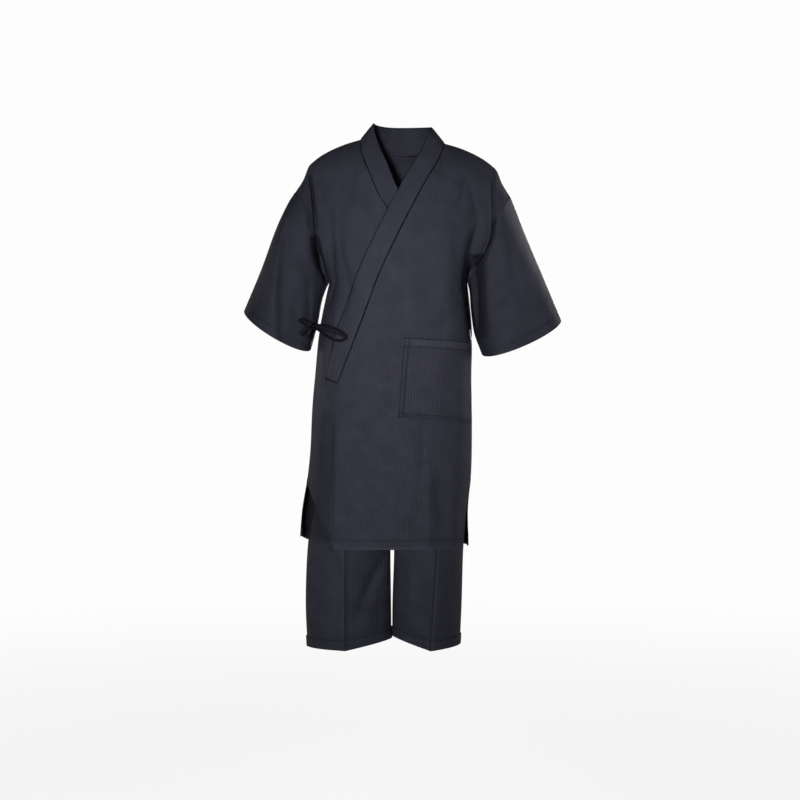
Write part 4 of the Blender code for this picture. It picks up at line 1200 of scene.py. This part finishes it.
def sleeve_point(rows, side, along, around):
    """Points of a sleeve; around runs 0 to 1 from the top, by the front, under and up the back."""
    notch = shoulder_point(np.array(float(side)))
    armpit = ring_point(TOP_SECTIONS, "front", np.array(ARMPIT_Z), np.array(float(side)))
    seam = SleeveRow(0.0, notch[0], notch[2], armpit[0], armpit[2], ARMHOLE_FRONT, 0.0)
    table = (seam,) + rows
    angle = around * 2 * math.pi
    front = np.sin(angle) > 0
    depth = read(table, "along", along, "half_depth")
    depth = np.where(front, depth, blend(ARMHOLE_BACK, depth, along))
    drop = np.where(front, CUFF_FRONT_DROP, CUFF_BACK_DROP) * along * np.abs(np.sin(angle))
    level = np.abs(1 - 2 * around)
    rise = blend(armhole_rise(level), (1 + np.cos(angle)) / 2, along)
    x = blend(read(table, "along", along, "under_x"), read(table, "along", along, "top_x"), rise)
    z = blend(read(table, "along", along, "under_z"), read(table, "along", along, "top_z"), rise)
    y = read(table, "along", along, "mid_y") - depth * np.sin(angle)
    return points(x, y, z - drop)


def on_sleeve(rows, side, along, around, lift):
    """Points of a sleeve as worn, moved out from its form by lift."""
    small = 0.004
    low, high = np.maximum(along - small, 0.0), np.minimum(along + small, 1.0)
    run = sleeve_point(rows, side, high, around) - sleeve_point(rows, side, low, around)
    turn = (sleeve_point(rows, side, along, around + small)
            - sleeve_point(rows, side, along, around - small))
    normal = unit(np.cross(turn, run)) * -side
    middle = sleeve_point(rows, side, along, np.array(0.25)) * 0.5
    middle = middle + sleeve_point(rows, side, along, np.array(0.75)) * 0.5
    place = sleeve_point(rows, side, np.abs(along), around)
    seam = sleeve_point(rows, side, np.zeros(np.shape(along)), around)
    place = np.where((along < 0)[..., None], 2 * seam - place, place)
    outward = np.sign(np.sum(normal * (place - middle), axis=-1, keepdims=True))
    place = place + normal * outward * np.asarray(lift)[..., None]
    facing = np.sin(around * 2 * math.pi)
    hold = ease(0.0, 0.10, along)
    place = np.where((facing > 0.02)[..., None], armhole_creased(place), place)
    place = creased(place, SLEEVE_FRONT_CREASES, -1, hold * ease(0.05, 0.5, facing))
    return creased(place, SLEEVE_BACK_CREASES, 1, hold * ease(0.05, 0.5, -facing))


def sleeve_start(settings, around):
    """Where a sleeve begins, past the open lacing over the shoulder."""
    level = np.abs(1 - 2 * around)
    return settings.lace_gap / 2 / SLEEVE_LENGTH * laced(level)


def sleeve_clearance(side, along, around):
    """The gap at the armhole, which is wider under the arm."""
    under_arm = 1 - np.abs(1 - 2 * around)
    gap = SEAM * blend(0.6, 1.6, under_arm ** 3) * (1 - ease(0.0, 0.04, along))
    return np.array((side * 0.86, 0.0, -0.5)) * gap[..., None]


TUCK_SHARES = np.array((1.0, 0.6, 0.25))            # rows of a sleeve's allowance, from its raw edge
TUCK_LIFTS = np.array((-0.0034, -0.0034, -0.0022))  # how far inside the seam they lie


def sleeve_panel(settings, rows, side):
    """Points and thread of a sleeve, from its allowance inside the armhole to its turned cuff."""
    columns = round(SLEEVE_ROUND / (settings.pitch * SLEEVE_PITCH))
    share = np.linspace(0.0, 1.0, columns + 1)
    around = share if side < 0 else 1 - share
    stops = turned_stops(SLEEVE_LENGTH, settings.pitch, 0.0, settings.hem_depth)
    start = sleeve_start(settings, around)
    along = stops.share[:, None] - (stops.high * (stops.share >= 1))[:, None] / SLEEVE_LENGTH
    along = blend(start[None, :], 1.0, along)
    tucked = TUCK_SHARES[:, None] * settings.turn_in * SEAM_TURN
    shut = 1 - 0.94 * laced(np.abs(1 - 2 * around))
    along = np.concatenate([start - tucked * shut / SLEEVE_LENGTH, along])
    around = np.broadcast_to(around[None, :], along.shape)
    lift = np.concatenate([TUCK_LIFTS[:, None] * shut,
                           np.broadcast_to(stops.lift[:, None], (len(stops.lift), len(shut)))])
    place = on_sleeve(rows, side, along, around, lift) + sleeve_clearance(side, along, around)
    cloth = np.concatenate([-tucked[:, 0], stops.cloth])
    return place, points(cloth[:, None], share[None, :] * SLEEVE_ROUND, 0.0)[..., :2]


class JINBEI_OT_sleeves(bpy.types.Operator):
    """Make both sleeves with their cuffs turned in"""
    bl_idname = "jinbei.sleeves"
    bl_label = "Sleeves"

    def execute(self, context):
        settings = context.scene.jinbei
        for name, rows, side in (("sleeve_left", LEFT_SLEEVE, 1), ("sleeve_right", RIGHT_SLEEVE, -1)):
            place, uv = sleeve_panel(settings, rows, side)
            sleeve = add_cloth(name + "_cloth", place, uv, finish_of(settings, name),
                               settings.cloth_thickness, closed=True)
            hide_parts(name)
        return {"FINISHED"}


def collar_middle(settings):
    """Middle surface of the collar band, from the left front's low end round to the right's."""
    across = np.linspace(0.0, 1.0, COLLAR_COLUMNS)
    sunk = settings.collar_thickness / 2 - COLLAR_LIFT

    def chest(seam, edge, side, lift_at):
        low = (seam[0].z - ARMPIT_Z) / SKIRT_DROP
        level = np.concatenate([np.arange(low, 0.0, COLLAR_STEP),
                                np.linspace(0.0, 1 - SHOULDER_GAP, COLLAR_CHEST_ROWS)])
        turn = inner_turn(seam, edge, level, 0.0)
        foot = top_form("front", level, turn)
        stand = ease(0.0, 1.0, read(seam, "z", foot[:, 2], "stand"))[:, None, None]
        lift = lift_at(foot[:, 2]) - sunk
        start = foot + top_normal("front", level, turn) * lift[:, None]
        slope = (read(seam, "z", foot[:, 2] + 0.01, "x") - read(seam, "z", foot[:, 2] - 0.01, "x")) / 0.02
        full = ease(LOW_END_Z, LOW_END_FULL_Z, foot[:, 2])
        slope = slope * (1 + LOW_END_SLANT * (1 - full))
        sideways = unit(points(-side, 0.0, slope * side))
        below = COLLAR_FOOT * ease(0.8, 1.0, stand) * (1 - across)[None, :, None]
        reach = COLLAR_WIDTH * (across[None, :, None] - below)
        share = LYING_SHARE * blend(LOW_END_SHARE, 1.0, full)
        seen = foot[:, None, :] + sideways[:, None, :] * reach * share[:, None, None]
        upright = start[:, None, :] + STAND_WAY * np.array((-side, 1, 1)) * reach
        at_level, at_turn = front_place(seen[..., 0], seen[..., 2])
        lying = on_top("front", at_level, at_turn, np.broadcast_to(lift[:, None], at_turn.shape))
        return blend(lying, upright, stand)

    left = chest(LEFT_SEAM, LEFT_EDGE, 1, lambda z: COLLAR_LIFT + 0 * z)
    right = chest(RIGHT_SEAM, RIGHT_EDGE, -1, lambda z: COLLAR_LIFT + tuck(z))
    angle = np.linspace(0.0, math.pi, COLLAR_NECK_ROWS + 2)[1:-1]
    turn = NECK_TURN * np.cos(angle)
    seam = top_form("back", back_neck_level(turn), turn)
    top = blend(left[-1, -1], right[-1, -1], ((1 - np.cos(angle)) / 2)[:, None])
    top[:, 1] += NECK_TOP_BACK_Y * np.sin(angle)
    top[:, 2] = blend(top[:, 2], NECK_TOP_Z, np.sin(angle))
    neck = blend(seam[:, None, :], top[:, None, :], blend(-COLLAR_FOOT, 1.0, across)[None, :, None])
    return np.concatenate([left, neck, right[::-1]])


class JINBEI_OT_collar(bpy.types.Operator):
    """Make the folded collar band, up one front, round the neck and down the other"""
    bl_idname = "jinbei.collar"
    bl_label = "Collar"

    def execute(self, context):
        settings = context.scene.jinbei
        centre = collar_middle(settings)[:, ::-1]
        along = route_lengths(centre[:, COLLAR_COLUMNS // 2])
        collar = add_band("collar_band", centre, settings.collar_thickness / 2,
                          np.linspace(0.0, COLLAR_WIDTH, centre.shape[1]), along,
                          finish_of(settings, "collar"))
        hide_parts("collar")
        return {"FINISHED"}


def pocket_place(across, along):
    """Level and turn of the pocket's places on the left front."""
    z = blend(blend(POCKET_FOOT.z_inner, POCKET_FOOT.z_outer, across),
              blend(POCKET_TOP.z_inner, POCKET_TOP.z_outer, across), along)
    turn = blend(blend(POCKET_FOOT.turn_inner, POCKET_FOOT.turn_outer, across),
                 blend(POCKET_TOP.turn_inner, POCKET_TOP.turn_outer, across), along)
    return level_at(turn, z), turn


def pocket_lift(across, along):
    """How far the pocket stands out: sewn down at its sides and foot, gaping at its mouth."""
    gape = POCKET_GAPE * ease(0.5, 1.0, along) * np.sin(math.pi * np.clip(across, 0.0, 1.0))
    sewn = np.minimum(np.minimum(across, 1 - across) * POCKET_SIZE[0], along * POCKET_SIZE[1])
    return POCKET_LIFT + gape - 0.0007 * (1 - ease(0.002, 0.014, sewn))


class JINBEI_OT_pocket(bpy.types.Operator):
    """Make the patch pocket on the left front"""
    bl_idname = "jinbei.pocket"
    bl_label = "Pocket"

    def execute(self, context):
        settings = context.scene.jinbei
        pitch = settings.pitch * POCKET_PITCH
        wide = turned_stops(POCKET_SIZE[0], pitch, settings.turn_in, settings.turn_in)
        tall = turned_stops(POCKET_SIZE[1], pitch, settings.turn_in, settings.hem_depth)
        across, along = np.meshgrid(*(
            stops.share + (stops.low * (stops.share <= 0) - stops.high * (stops.share >= 1)) / size
            for stops, size in zip((wide, tall), POCKET_SIZE)))
        level, turn = pocket_place(across, along)
        lift = pocket_lift(across, along) + wide.lift[None, :] + tall.lift[:, None]
        place = on_top("front", level, turn, lift)
        uv = points(wide.cloth[None, :], tall.cloth[:, None], 0.0)[..., :2]
        pocket = add_cloth("pocket_cloth", place, uv, finish_of(settings, "pocket"),
                           settings.cloth_thickness)
        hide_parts("pocket")
        return {"FINISHED"}


# ---------------------------------------------------------------- the trousers


def hip_arc(side, z, around):
    """Half of the hips at a height: from the centre front by the side to the centre back."""
    across, deep = squircle(math.pi * around, BODY_SQUARE)
    y = np.where(deep > 0, read(HIP_SECTIONS, "z", z, "front_y"), read(HIP_SECTIONS, "z", z, "back_y"))
    half = read(HIP_SECTIONS, "z", z, "half_width") - SEAM / 2
    x = read(HIP_SECTIONS, "z", z, "mid_x") + side * (SEAM / 2 + half * np.abs(across))
    return points(x, y * np.abs(deep), z)


def leg_ring(rows, z, around):
    """Closed sections of a leg: from the inseam by the front, the outer side and the back."""
    inner, outer = read(rows, "z", z, "inner"), read(rows, "z", z, "outer")
    middle, half = (inner + outer) / 2, (inner - outer) / 2
    pressed = 1 - ease(CREASE_FULL_Z, CROTCH_Z, z)
    angle = 2 * math.pi * around
    across = power(np.cos(angle), blend(2 / LEG_SQUARE, CREASE_POWER, pressed))
    deep = power(np.sin(angle), blend(2 / LEG_SQUARE, 1.0, pressed))
    y = np.where(deep > 0, read(rows, "z", z, "front_y"), read(rows, "z", z, "back_y")) * np.abs(deep)
    shift = read(rows, "z", z, "crease") * (1 - across * across)
    return points(middle + half * (across - shift), y, z)


def leg_form(rows, rise, side, z, around):
    """Points of a leg's outer form."""
    leg = leg_ring(rows, np.minimum(z, CROTCH_Z), around)
    across = power(np.cos(2 * math.pi * around), CREASE_POWER)
    near_hem = 1 - ease(LEG_HEM_Z, LEG_HEM_Z + HEM_RISE_REACH, z)
    leg[..., 2] += near_hem * np.where(across > 0, rise.inner, rise.outer) * np.abs(across)
    climb = np.clip((z - CROTCH_Z) / CROTCH_ROUND, 0.0, 1.0)
    closing = (1 - np.sqrt(1 - (1 - climb) ** 2))[..., None]
    hips = blend(hip_arc(side, np.maximum(z, CROTCH_Z), around), leg, closing)
    hips[..., 2] = z
    return np.where((z > CROTCH_Z)[..., None], hips, leg)


def on_leg(rows, rise, side, z, around, lift):
    """Points of a leg as worn, moved in from its form by a lift below zero."""
    place = leg_form(rows, rise, side, z, around)
    small = 0.003
    run = leg_form(rows, rise, side, z + small, around) - leg_form(rows, rise, side, z - small, around)
    turn = (leg_form(rows, rise, side, z, around + small)
            - leg_form(rows, rise, side, z, around - small))
    normal = unit(np.cross(run, turn)) * side
    place = place + normal * np.asarray(lift)[..., None]
    facing = np.sin(2 * math.pi * around)
    place = creased(place, LEG_FRONT_CREASES, -1, ease(0.05, 0.45, facing))
    return creased(place, LEG_BACK_CREASES, 1, ease(0.05, 0.45, -facing))


def leg_rows(settings):
    """Heights, lifts and cloth of a leg's rows: close below the skirt, wider under it."""
    hem = turned_stops(LEG_FINE_LENGTH, settings.pitch, settings.hem_depth, 0.0)
    low = LEG_HEM_Z + hem.share * LEG_FINE_LENGTH + hem.low * (hem.share <= 0)
    high = np.arange(low[-1] + HIDDEN_PITCH, WAIST_Z, HIDDEN_PITCH)
    z = np.concatenate([low, high, [WAIST_Z]])
    lift = np.concatenate([hem.lift, np.zeros(len(high) + 1)])
    cloth = np.concatenate([hem.cloth, high - LEG_HEM_Z, [WAIST_Z - LEG_HEM_Z]])
    return z, lift, cloth


class JINBEI_OT_shorts(bpy.types.Operator):
    """Make the short trousers: two pressed legs and the gathered waistband"""
    bl_idname = "jinbei.shorts"
    bl_label = "Trousers"

    def execute(self, context):
        settings = context.scene.jinbei
        z, lift, cloth = leg_rows(settings)
        for name, rows, rise, side in (("leg_left", LEFT_LEG, LEFT_HEM_RISE, 1),
                                       ("leg_right", RIGHT_LEG, RIGHT_HEM_RISE, -1)):
            columns = 4 * round(LEG_ROUND / settings.pitch / 4)
            share = np.linspace(0.0, 1.0, columns + 1)
            around, height = np.meshgrid(share if side > 0 else 1 - share, z)
            place = on_leg(rows, rise, side, height, around, np.broadcast_to(lift[:, None], height.shape))
            uv = points(share[None, :] * LEG_ROUND, cloth[:, None], 0.0)[..., :2]
            leg = add_cloth(name + "_cloth", place, uv, finish_of(settings, name),
                            settings.cloth_thickness, closed=True)
            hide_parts(name)
        self.make_waistband(settings)
        return {"FINISHED"}

    def make_waistband(self, settings):
        share = np.linspace(0.0, 1.0, WAISTBAND_GATHERS * 6 + 1)
        z, share = np.meshgrid(np.linspace(WAIST_Z + SEAM, WAIST_Z + WAISTBAND_DEPTH, 13), share,
                               indexing="ij")
        reach, deep = squircle(2 * math.pi * share, BODY_SQUARE)
        y = np.where(deep > 0, read(HIP_SECTIONS, "z", z, "front_y"),
                     read(HIP_SECTIONS, "z", z, "back_y")) * np.abs(deep)
        half = read(HIP_SECTIONS, "z", z, "half_width")
        up = (z - WAIST_Z) / WAISTBAND_DEPTH
        gathers = np.sin(2 * math.pi * WAISTBAND_GATHERS * share)
        pinch = GATHER_DEPTH * (0.55 + 0.45 * np.sin(share * 57.0)) * gathers
        pinch = pinch * (0.35 + 0.65 * np.sin(math.pi * up)) - WAISTBAND_IN
        place = points(read(HIP_SECTIONS, "z", z, "mid_x") + (half + pinch) * reach,
                       y * (1 + pinch / 0.09), z)
        uv = points(share * WAISTBAND_LENGTH, z, 0.0)[..., :2]
        band = add_cloth("waistband_cloth", place, uv, finish_of(settings, "waistband"),
                         WAISTBAND_THICKNESS, closed=True)
        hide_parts("waistband")


# ---------------------------------------------------------------- ties, stitching and lacing


def strap_middle(route, facing, width, curl):
    """Middle surface of a flat tie along a route, with its broad side turned to facing."""
    route = np.array(route, float)
    keys = route_lengths(route)
    at = np.linspace(0.0, keys[-1], TIE_ROWS)
    line = np.stack([smooth(keys, route[:, i], at) for i in range(3)], axis=-1)
    run = unit(np.gradient(line, axis=0))
    facing = np.array(facing, float)
    sideways = unit(np.cross(run, facing))
    out = np.cross(sideways, run)
    across = np.linspace(0.5, -0.5, 9)[None, :, None]
    cup = curl * (np.abs(across * 2) ** 2 - 0.5)
    return line[:, None, :] + sideways[:, None, :] * across * width + out[:, None, :] * cup, at


class JINBEI_OT_ties(bpy.types.Operator):
    """Make the ties, tied in a small bow at the right side"""
    bl_idname = "jinbei.ties"
    bl_label = "Ties"

    def execute(self, context):
        settings = context.scene.jinbei
        forward = (0, -1, 0)
        straps = (
            ("tie_front", TIE_FRONT_ROUTE, forward, 0.0006),
            ("tie_side", TIE_SIDE_ROUTE, (-1, 0, 0), 0.0006),
            ("tie_loop_upper", LOOP_UPPER_ROUTE, (0.2, -0.6, 1), 0.0008),
            ("tie_loop_lower", LOOP_LOWER_ROUTE, (0.1, -0.6, 1), 0.0008),
            ("tie_end_upper", TAIL_LEFT_ROUTE, forward, 0.0009),
            ("tie_end_lower", TAIL_RIGHT_ROUTE, forward, 0.0009),
        )
        finish = finish_of(settings, "tie")
        for name, route, facing, curl in straps:
            centre, along = strap_middle(route, facing, TIE_WIDTH * 0.94, curl)
            strap = add_band(name + "_cloth", centre, settings.tie_thickness / 2,
                             np.linspace(0.0, TIE_WIDTH, centre.shape[1]), along, finish)
            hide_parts(name)
        self.make_knot(finish)
        return {"FINISHED"}

    def make_knot(self, finish):
        """The knot: a round core with two turns of the tie pulled tight over it."""
        knot = bmesh.new()
        bmesh.ops.create_icosphere(knot, subdivisions=4, radius=1.0)
        for vertex in knot.verts:
            x, y, z = vertex.co
            across = x + 0.45 * z
            wrap = math.exp(-(across / 0.34) ** 2)
            lip = sum(math.exp(-((across - edge) / 0.10) ** 2) for edge in (0.42, -0.42))
            swell = 0.86 + 0.13 * wrap - 0.09 * lip + 0.02 * math.sin(9 * z + 4 * y)
            vertex.co = KNOT_AT + Vector(a * b * swell for a, b in zip(vertex.co, KNOT_SIZE))
        mesh = bpy.data.meshes.new("tie_knot_cloth")
        knot.to_mesh(mesh)
        knot.free()
        piece = add_object("tie_knot_cloth", mesh, finish)
        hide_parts("tie_knot")


STITCH_LIFT = 0.00015
HEM_LINE_SHORT = 0.02   # turns of cloth by which the left front's hem line stops short of its edges
EDGE_LINE_FOOT = -0.96  # levels from which the lines beside the edges and the slits run up
SLIT_LINE_FOOT = -0.97
BACK_SLIT_TURN = 0.985
LINE_POINTS = 240       # points along each line, before it is cut into stitches
SLIT_LINE_POINTS = 160
POCKET_LINE_POINTS = 120
ROUND_LINE_POINTS = 260
EDGE_STITCH_IN = 0.003  # from the inner edge of a turning out to its line of stitches
POCKET_STITCH_IN = 0.0022    # from the pocket's edge in to its outer line of stitches
POCKET_SECOND_IN = 0.0078    # and to its inner one


def hem_line(face, first, last, up):
    """A line of stitches along a hem of the top, from one turn to another."""
    return on_top(face, -1 + up / SKIRT_DROP, np.linspace(first, last, LINE_POINTS), STITCH_LIFT)


def free_edge_line(top, inward):
    """A line of stitches beside the left front's free edge, up to the collar."""
    level = np.linspace(EDGE_LINE_FOOT, top, LINE_POINTS)
    turn = inner_turn(LEFT_SEAM, LEFT_EDGE, level, SEAM) + inward / TURN_LENGTH
    return on_top("front", level, turn, STITCH_LIFT)


def slit_line(name, side, top, inward):
    """A line of stitches beside the slit of a front."""
    level = np.linspace(EDGE_LINE_FOOT, top, LINE_POINTS)
    turn = side * (vent_turn(level, name) - SIDE_GAP) - inward / TURN_LENGTH * side
    return on_top("front", level, turn, STITCH_LIFT)


class JINBEI_OT_stitching(bpy.types.Operator):
    """Sew the hems, edges, pocket, cuffs and trouser hems"""
    bl_idname = "jinbei.stitching"
    bl_label = "Stitching"

    def execute(self, context):
        settings = context.scene.jinbei
        finish = finish_of(settings, "thread")
        up = settings.hem_depth - HEM_STITCH_IN
        inward = settings.turn_in - EDGE_STITCH_IN
        vent_level = (VENT_Z - ARMPIT_Z) / SKIRT_DROP
        collar_low = (LEFT_SEAM[0].z - ARMPIT_Z) / SKIRT_DROP
        start = float(inner_turn(LEFT_SEAM, LEFT_EDGE, np.array([-1.0]), SEAM)[0])
        end = vent_turn(np.array(SLIT_LINE_FOOT), "left")
        lines = {
            "top_stitches": [
                hem_line("front", start + HEM_LINE_SHORT, end - HEM_LINE_SHORT, up),
                hem_line("back", 0.97, -0.97, up),
                free_edge_line(collar_low, inward),
                slit_line("left", 1, vent_level, inward), slit_line("right", -1, vent_level, inward),
                self.vent_line(BACK_SLIT_TURN, vent_level), self.vent_line(-BACK_SLIT_TURN, vent_level),
            ],
            "pocket_stitches": self.pocket_lines(settings),
            "cuff_stitches": [self.cuff_line(LEFT_SLEEVE, 1, up), self.cuff_line(RIGHT_SLEEVE, -1, up)],
            "trouser_stitches": [self.leg_line(LEFT_LEG, LEFT_HEM_RISE, 1, up),
                                 self.leg_line(RIGHT_LEG, RIGHT_HEM_RISE, -1, up)],
        }
        for name, group in lines.items():
            runs = [run for line in group for run in stitch_runs(line, settings.stitch_pitch)]
            add_threads(name, runs, settings.thread / 2, finish)
        return {"FINISHED"}

    def vent_line(self, turn, top):
        return on_top("back", np.linspace(SLIT_LINE_FOOT, top, SLIT_LINE_POINTS), turn, STITCH_LIFT)

    def pocket_lines(self, settings):
        def line(across, along):
            level, turn = pocket_place(across, along)
            return on_top("front", level, turn, pocket_lift(across, along) + STITCH_LIFT)

        edge = np.linspace(0.0, 1.0, POCKET_LINE_POINTS)
        near, far = (POCKET_STITCH_IN / size for size in POCKET_SIZE)
        inner, foot = (POCKET_SECOND_IN / size for size in POCKET_SIZE)
        mouth = (settings.hem_depth - HEM_STITCH_IN) / POCKET_SIZE[1]
        still = np.ones(POCKET_LINE_POINTS)
        return [
            line(still * near, 1 - edge), line(edge, still * far), line(1 - still * near, edge),
            line(still * inner, 1 - edge * (1 - foot)), line(inner + edge * (1 - 2 * inner), still * foot),
            line(1 - still * inner, foot + edge * (1 - foot)), line(edge, 1 - still * mouth),
        ]

    def cuff_line(self, rows, side, up):
        around = np.linspace(0.0, 1.0, ROUND_LINE_POINTS)
        along = np.full(ROUND_LINE_POINTS, 1 - up / SLEEVE_LENGTH)
        return on_sleeve(rows, side, along, around, np.full(ROUND_LINE_POINTS, STITCH_LIFT))

    def leg_line(self, rows, rise, side, up):
        around = np.linspace(0.0, 1.0, ROUND_LINE_POINTS)
        height = np.full(ROUND_LINE_POINTS, LEG_HEM_Z + up)
        return on_leg(rows, rise, side, height, around, np.full(ROUND_LINE_POINTS, STITCH_LIFT))


LACE_LEVELS = np.linspace(0.20, 0.985, 44)  # where the lacing crosses, from the armpit to the shoulder
LACE_IN = 0.0012        # from the edge of the cloth to where it is caught
LACE_RADIUS = 0.00042
LACE_LIFT = -0.0003


class JINBEI_OT_lacing(bpy.types.Operator):
    """Lace the open seams between the shoulders and the sleeves"""
    bl_idname = "jinbei.lacing"
    bl_label = "Lacing"

    def execute(self, context):
        settings = context.scene.jinbei
        runs = []
        for rows, side in ((LEFT_SLEEVE, 1), (RIGHT_SLEEVE, -1)):
            for face in ("front", "back"):
                away = settings.lace_gap / 2 / TURN_LENGTH + SIDE_GAP + LACE_IN / TURN_LENGTH
                body = on_top(face, LACE_LEVELS, side * (1 - away), LACE_LIFT)
                around = (1 - LACE_LEVELS) / 2 if face == "front" else (1 + LACE_LEVELS) / 2
                start = sleeve_start(settings, around) + LACE_IN / SLEEVE_LENGTH
                sleeve = on_sleeve(rows, side, start, around, np.full(len(start), LACE_LIFT))
                sleeve = sleeve + sleeve_clearance(side, start, around)
                for i in range(len(LACE_LEVELS) - 1):
                    runs.append((body[i], sleeve[i]))
                    runs.append((sleeve[i], body[i + 1]))
        add_threads("shoulder_lacing", runs, LACE_RADIUS, finish_of(settings, "thread"))
        return {"FINISHED"}


# ---------------------------------------------------------------- stage


class JINBEI_OT_stage(bpy.types.Operator):
    """Set the pale floor, the studio lights and the camera"""
    bl_idname = "jinbei.stage"
    bl_label = "Stage"

    def execute(self, context):
        scene = context.scene
        backdrop = solid(scene.jinbei.backdrop)
        scene.view_settings.view_transform = "Standard"
        self.make_world(scene, backdrop)
        self.make_floor(backdrop)
        for box in SOFTBOXES:
            self.make_softbox(box)
        camera = bpy.data.objects.new("camera", bpy.data.cameras.new("camera"))
        scene.collection.objects.link(camera)
        camera.location = CAMERA_AT
        camera.rotation_euler = (math.radians(90), 0, 0)
        camera.data.lens = CAMERA_LENS
        camera.data.clip_end = 100.0
        scene.camera = camera
        return {"FINISHED"}

    def make_world(self, scene, backdrop):
        world = bpy.data.worlds.new("studio")
        world.use_nodes = True
        sky = Nodes(world.node_tree)
        place = sky.wire(sky.node("ShaderNodeTexCoord"))
        height = sky.wire(sky.node("ShaderNodeSeparateXYZ", None, {"Vector": place}), "Z")
        overhead = sky.node("ShaderNodeMapRange", {"interpolation_type": "SMOOTHSTEP"},
                            {"Value": height, "From Min": OVERHEAD_FADE[0],
                             "From Max": OVERHEAD_FADE[1]})
        sky.link(sky.mixed(sky.wire(overhead), backdrop, solid(scene.jinbei.overhead)),
                 world.node_tree.nodes["Background"].inputs["Color"])
        scene.world = world

    def make_floor(self, backdrop):
        """A wide floor that melts into the backdrop away from the garment."""
        disc = bmesh.new()
        bmesh.ops.create_circle(disc, cap_ends=True, cap_tris=False, segments=96, radius=FLOOR_REACH,
                                matrix=Matrix.Translation((0, 0, FLOOR_Z)))
        mesh = bpy.data.meshes.new("floor")
        disc.to_mesh(mesh)
        disc.free()
        finish = Finish("studio_floor")
        place = finish.wire(finish.node("ShaderNodeTexCoord"), "Object")
        level = finish.node("ShaderNodeVectorMath", {"operation": "MULTIPLY"},
                            {0: place, 1: (1.0, 1.0, 0.0)})
        away = finish.node("ShaderNodeVectorMath", {"operation": "LENGTH"}, {0: finish.wire(level)})
        fade = finish.node("ShaderNodeMapRange", {"interpolation_type": "SMOOTHSTEP"},
                           {"Value": finish.wire(away, "Value"), "From Min": FLOOR_FADE[0],
                            "From Max": FLOOR_FADE[1], "To Min": FLOOR_GLOW})
        grain = finish.noise(place, 3.0)
        finish.set(Base_Color=finish.mixed(grain, (0.86, 0.86, 0.86, 1), (0.90, 0.90, 0.90, 1)),
                   Roughness=0.9, Specular_IOR_Level=0.1)
        glow = finish.node("ShaderNodeEmission", None, {"Color": backdrop, "Strength": 1.0})
        mix = finish.node("ShaderNodeMixShader", None,
                          {0: finish.wire(fade), 1: Wire(finish, finish.shader.outputs[0]),
                           2: finish.wire(glow)})
        output = finish.tree.nodes["Material Output"]
        finish.tree.links.new(mix.outputs[0], output.inputs["Surface"])
        mesh.materials.append(finish.material)
        floor = bpy.data.objects.new("floor", mesh)
        bpy.context.scene.collection.objects.link(floor)

    def make_softbox(self, box):
        light = bpy.data.lights.new(box.name, "AREA")
        light.shape = "RECTANGLE"
        light.size = box.width
        light.size_y = box.height
        light.energy = box.watts
        light.spread = math.radians(box.spread)
        lamp = bpy.data.objects.new(box.name, light)
        lamp.location = (box.x, box.y, box.z)
        aim = Vector((box.aim_x, 0.0, box.aim_z)) - lamp.location
        lamp.rotation_euler = aim.to_track_quat("-Z", "Y").to_euler()
        bpy.context.scene.collection.objects.link(lamp)


class JINBEI_PT_panel(bpy.types.Panel):
    """Sizes, colours and steps of the jinbei set."""
    bl_idname = "JINBEI_PT_panel"
    bl_label = "Jinbei Set"
    bl_space_type = "VIEW_3D"
    bl_region_type = "UI"
    bl_category = "Jinbei"

    def draw(self, context):
        settings = context.scene.jinbei
        for name in JinbeiSettings.__annotations__:
            self.layout.prop(settings, name)
        for step in STEPS:
            self.layout.operator(step.bl_idname)


STEPS = (
    JINBEI_OT_stage, JINBEI_OT_fronts, JINBEI_OT_back, JINBEI_OT_sleeves, JINBEI_OT_pocket,
    JINBEI_OT_collar, JINBEI_OT_shorts, JINBEI_OT_ties, JINBEI_OT_stitching, JINBEI_OT_lacing,
)
CLASSES = (JinbeiSettings, *STEPS, JINBEI_PT_panel)


def register():
    for item in CLASSES:
        bpy.utils.register_class(item)
    bpy.types.Scene.jinbei = bpy.props.PointerProperty(type=JinbeiSettings)


def unregister():
    del bpy.types.Scene.jinbei
    for item in reversed(CLASSES):
        bpy.utils.unregister_class(item)


def main():
    register()
    for step in STEPS:
        group, name = step.bl_idname.split(".")
        getattr(getattr(bpy.ops, group), name)()


if __name__ == "__main__":
    main()
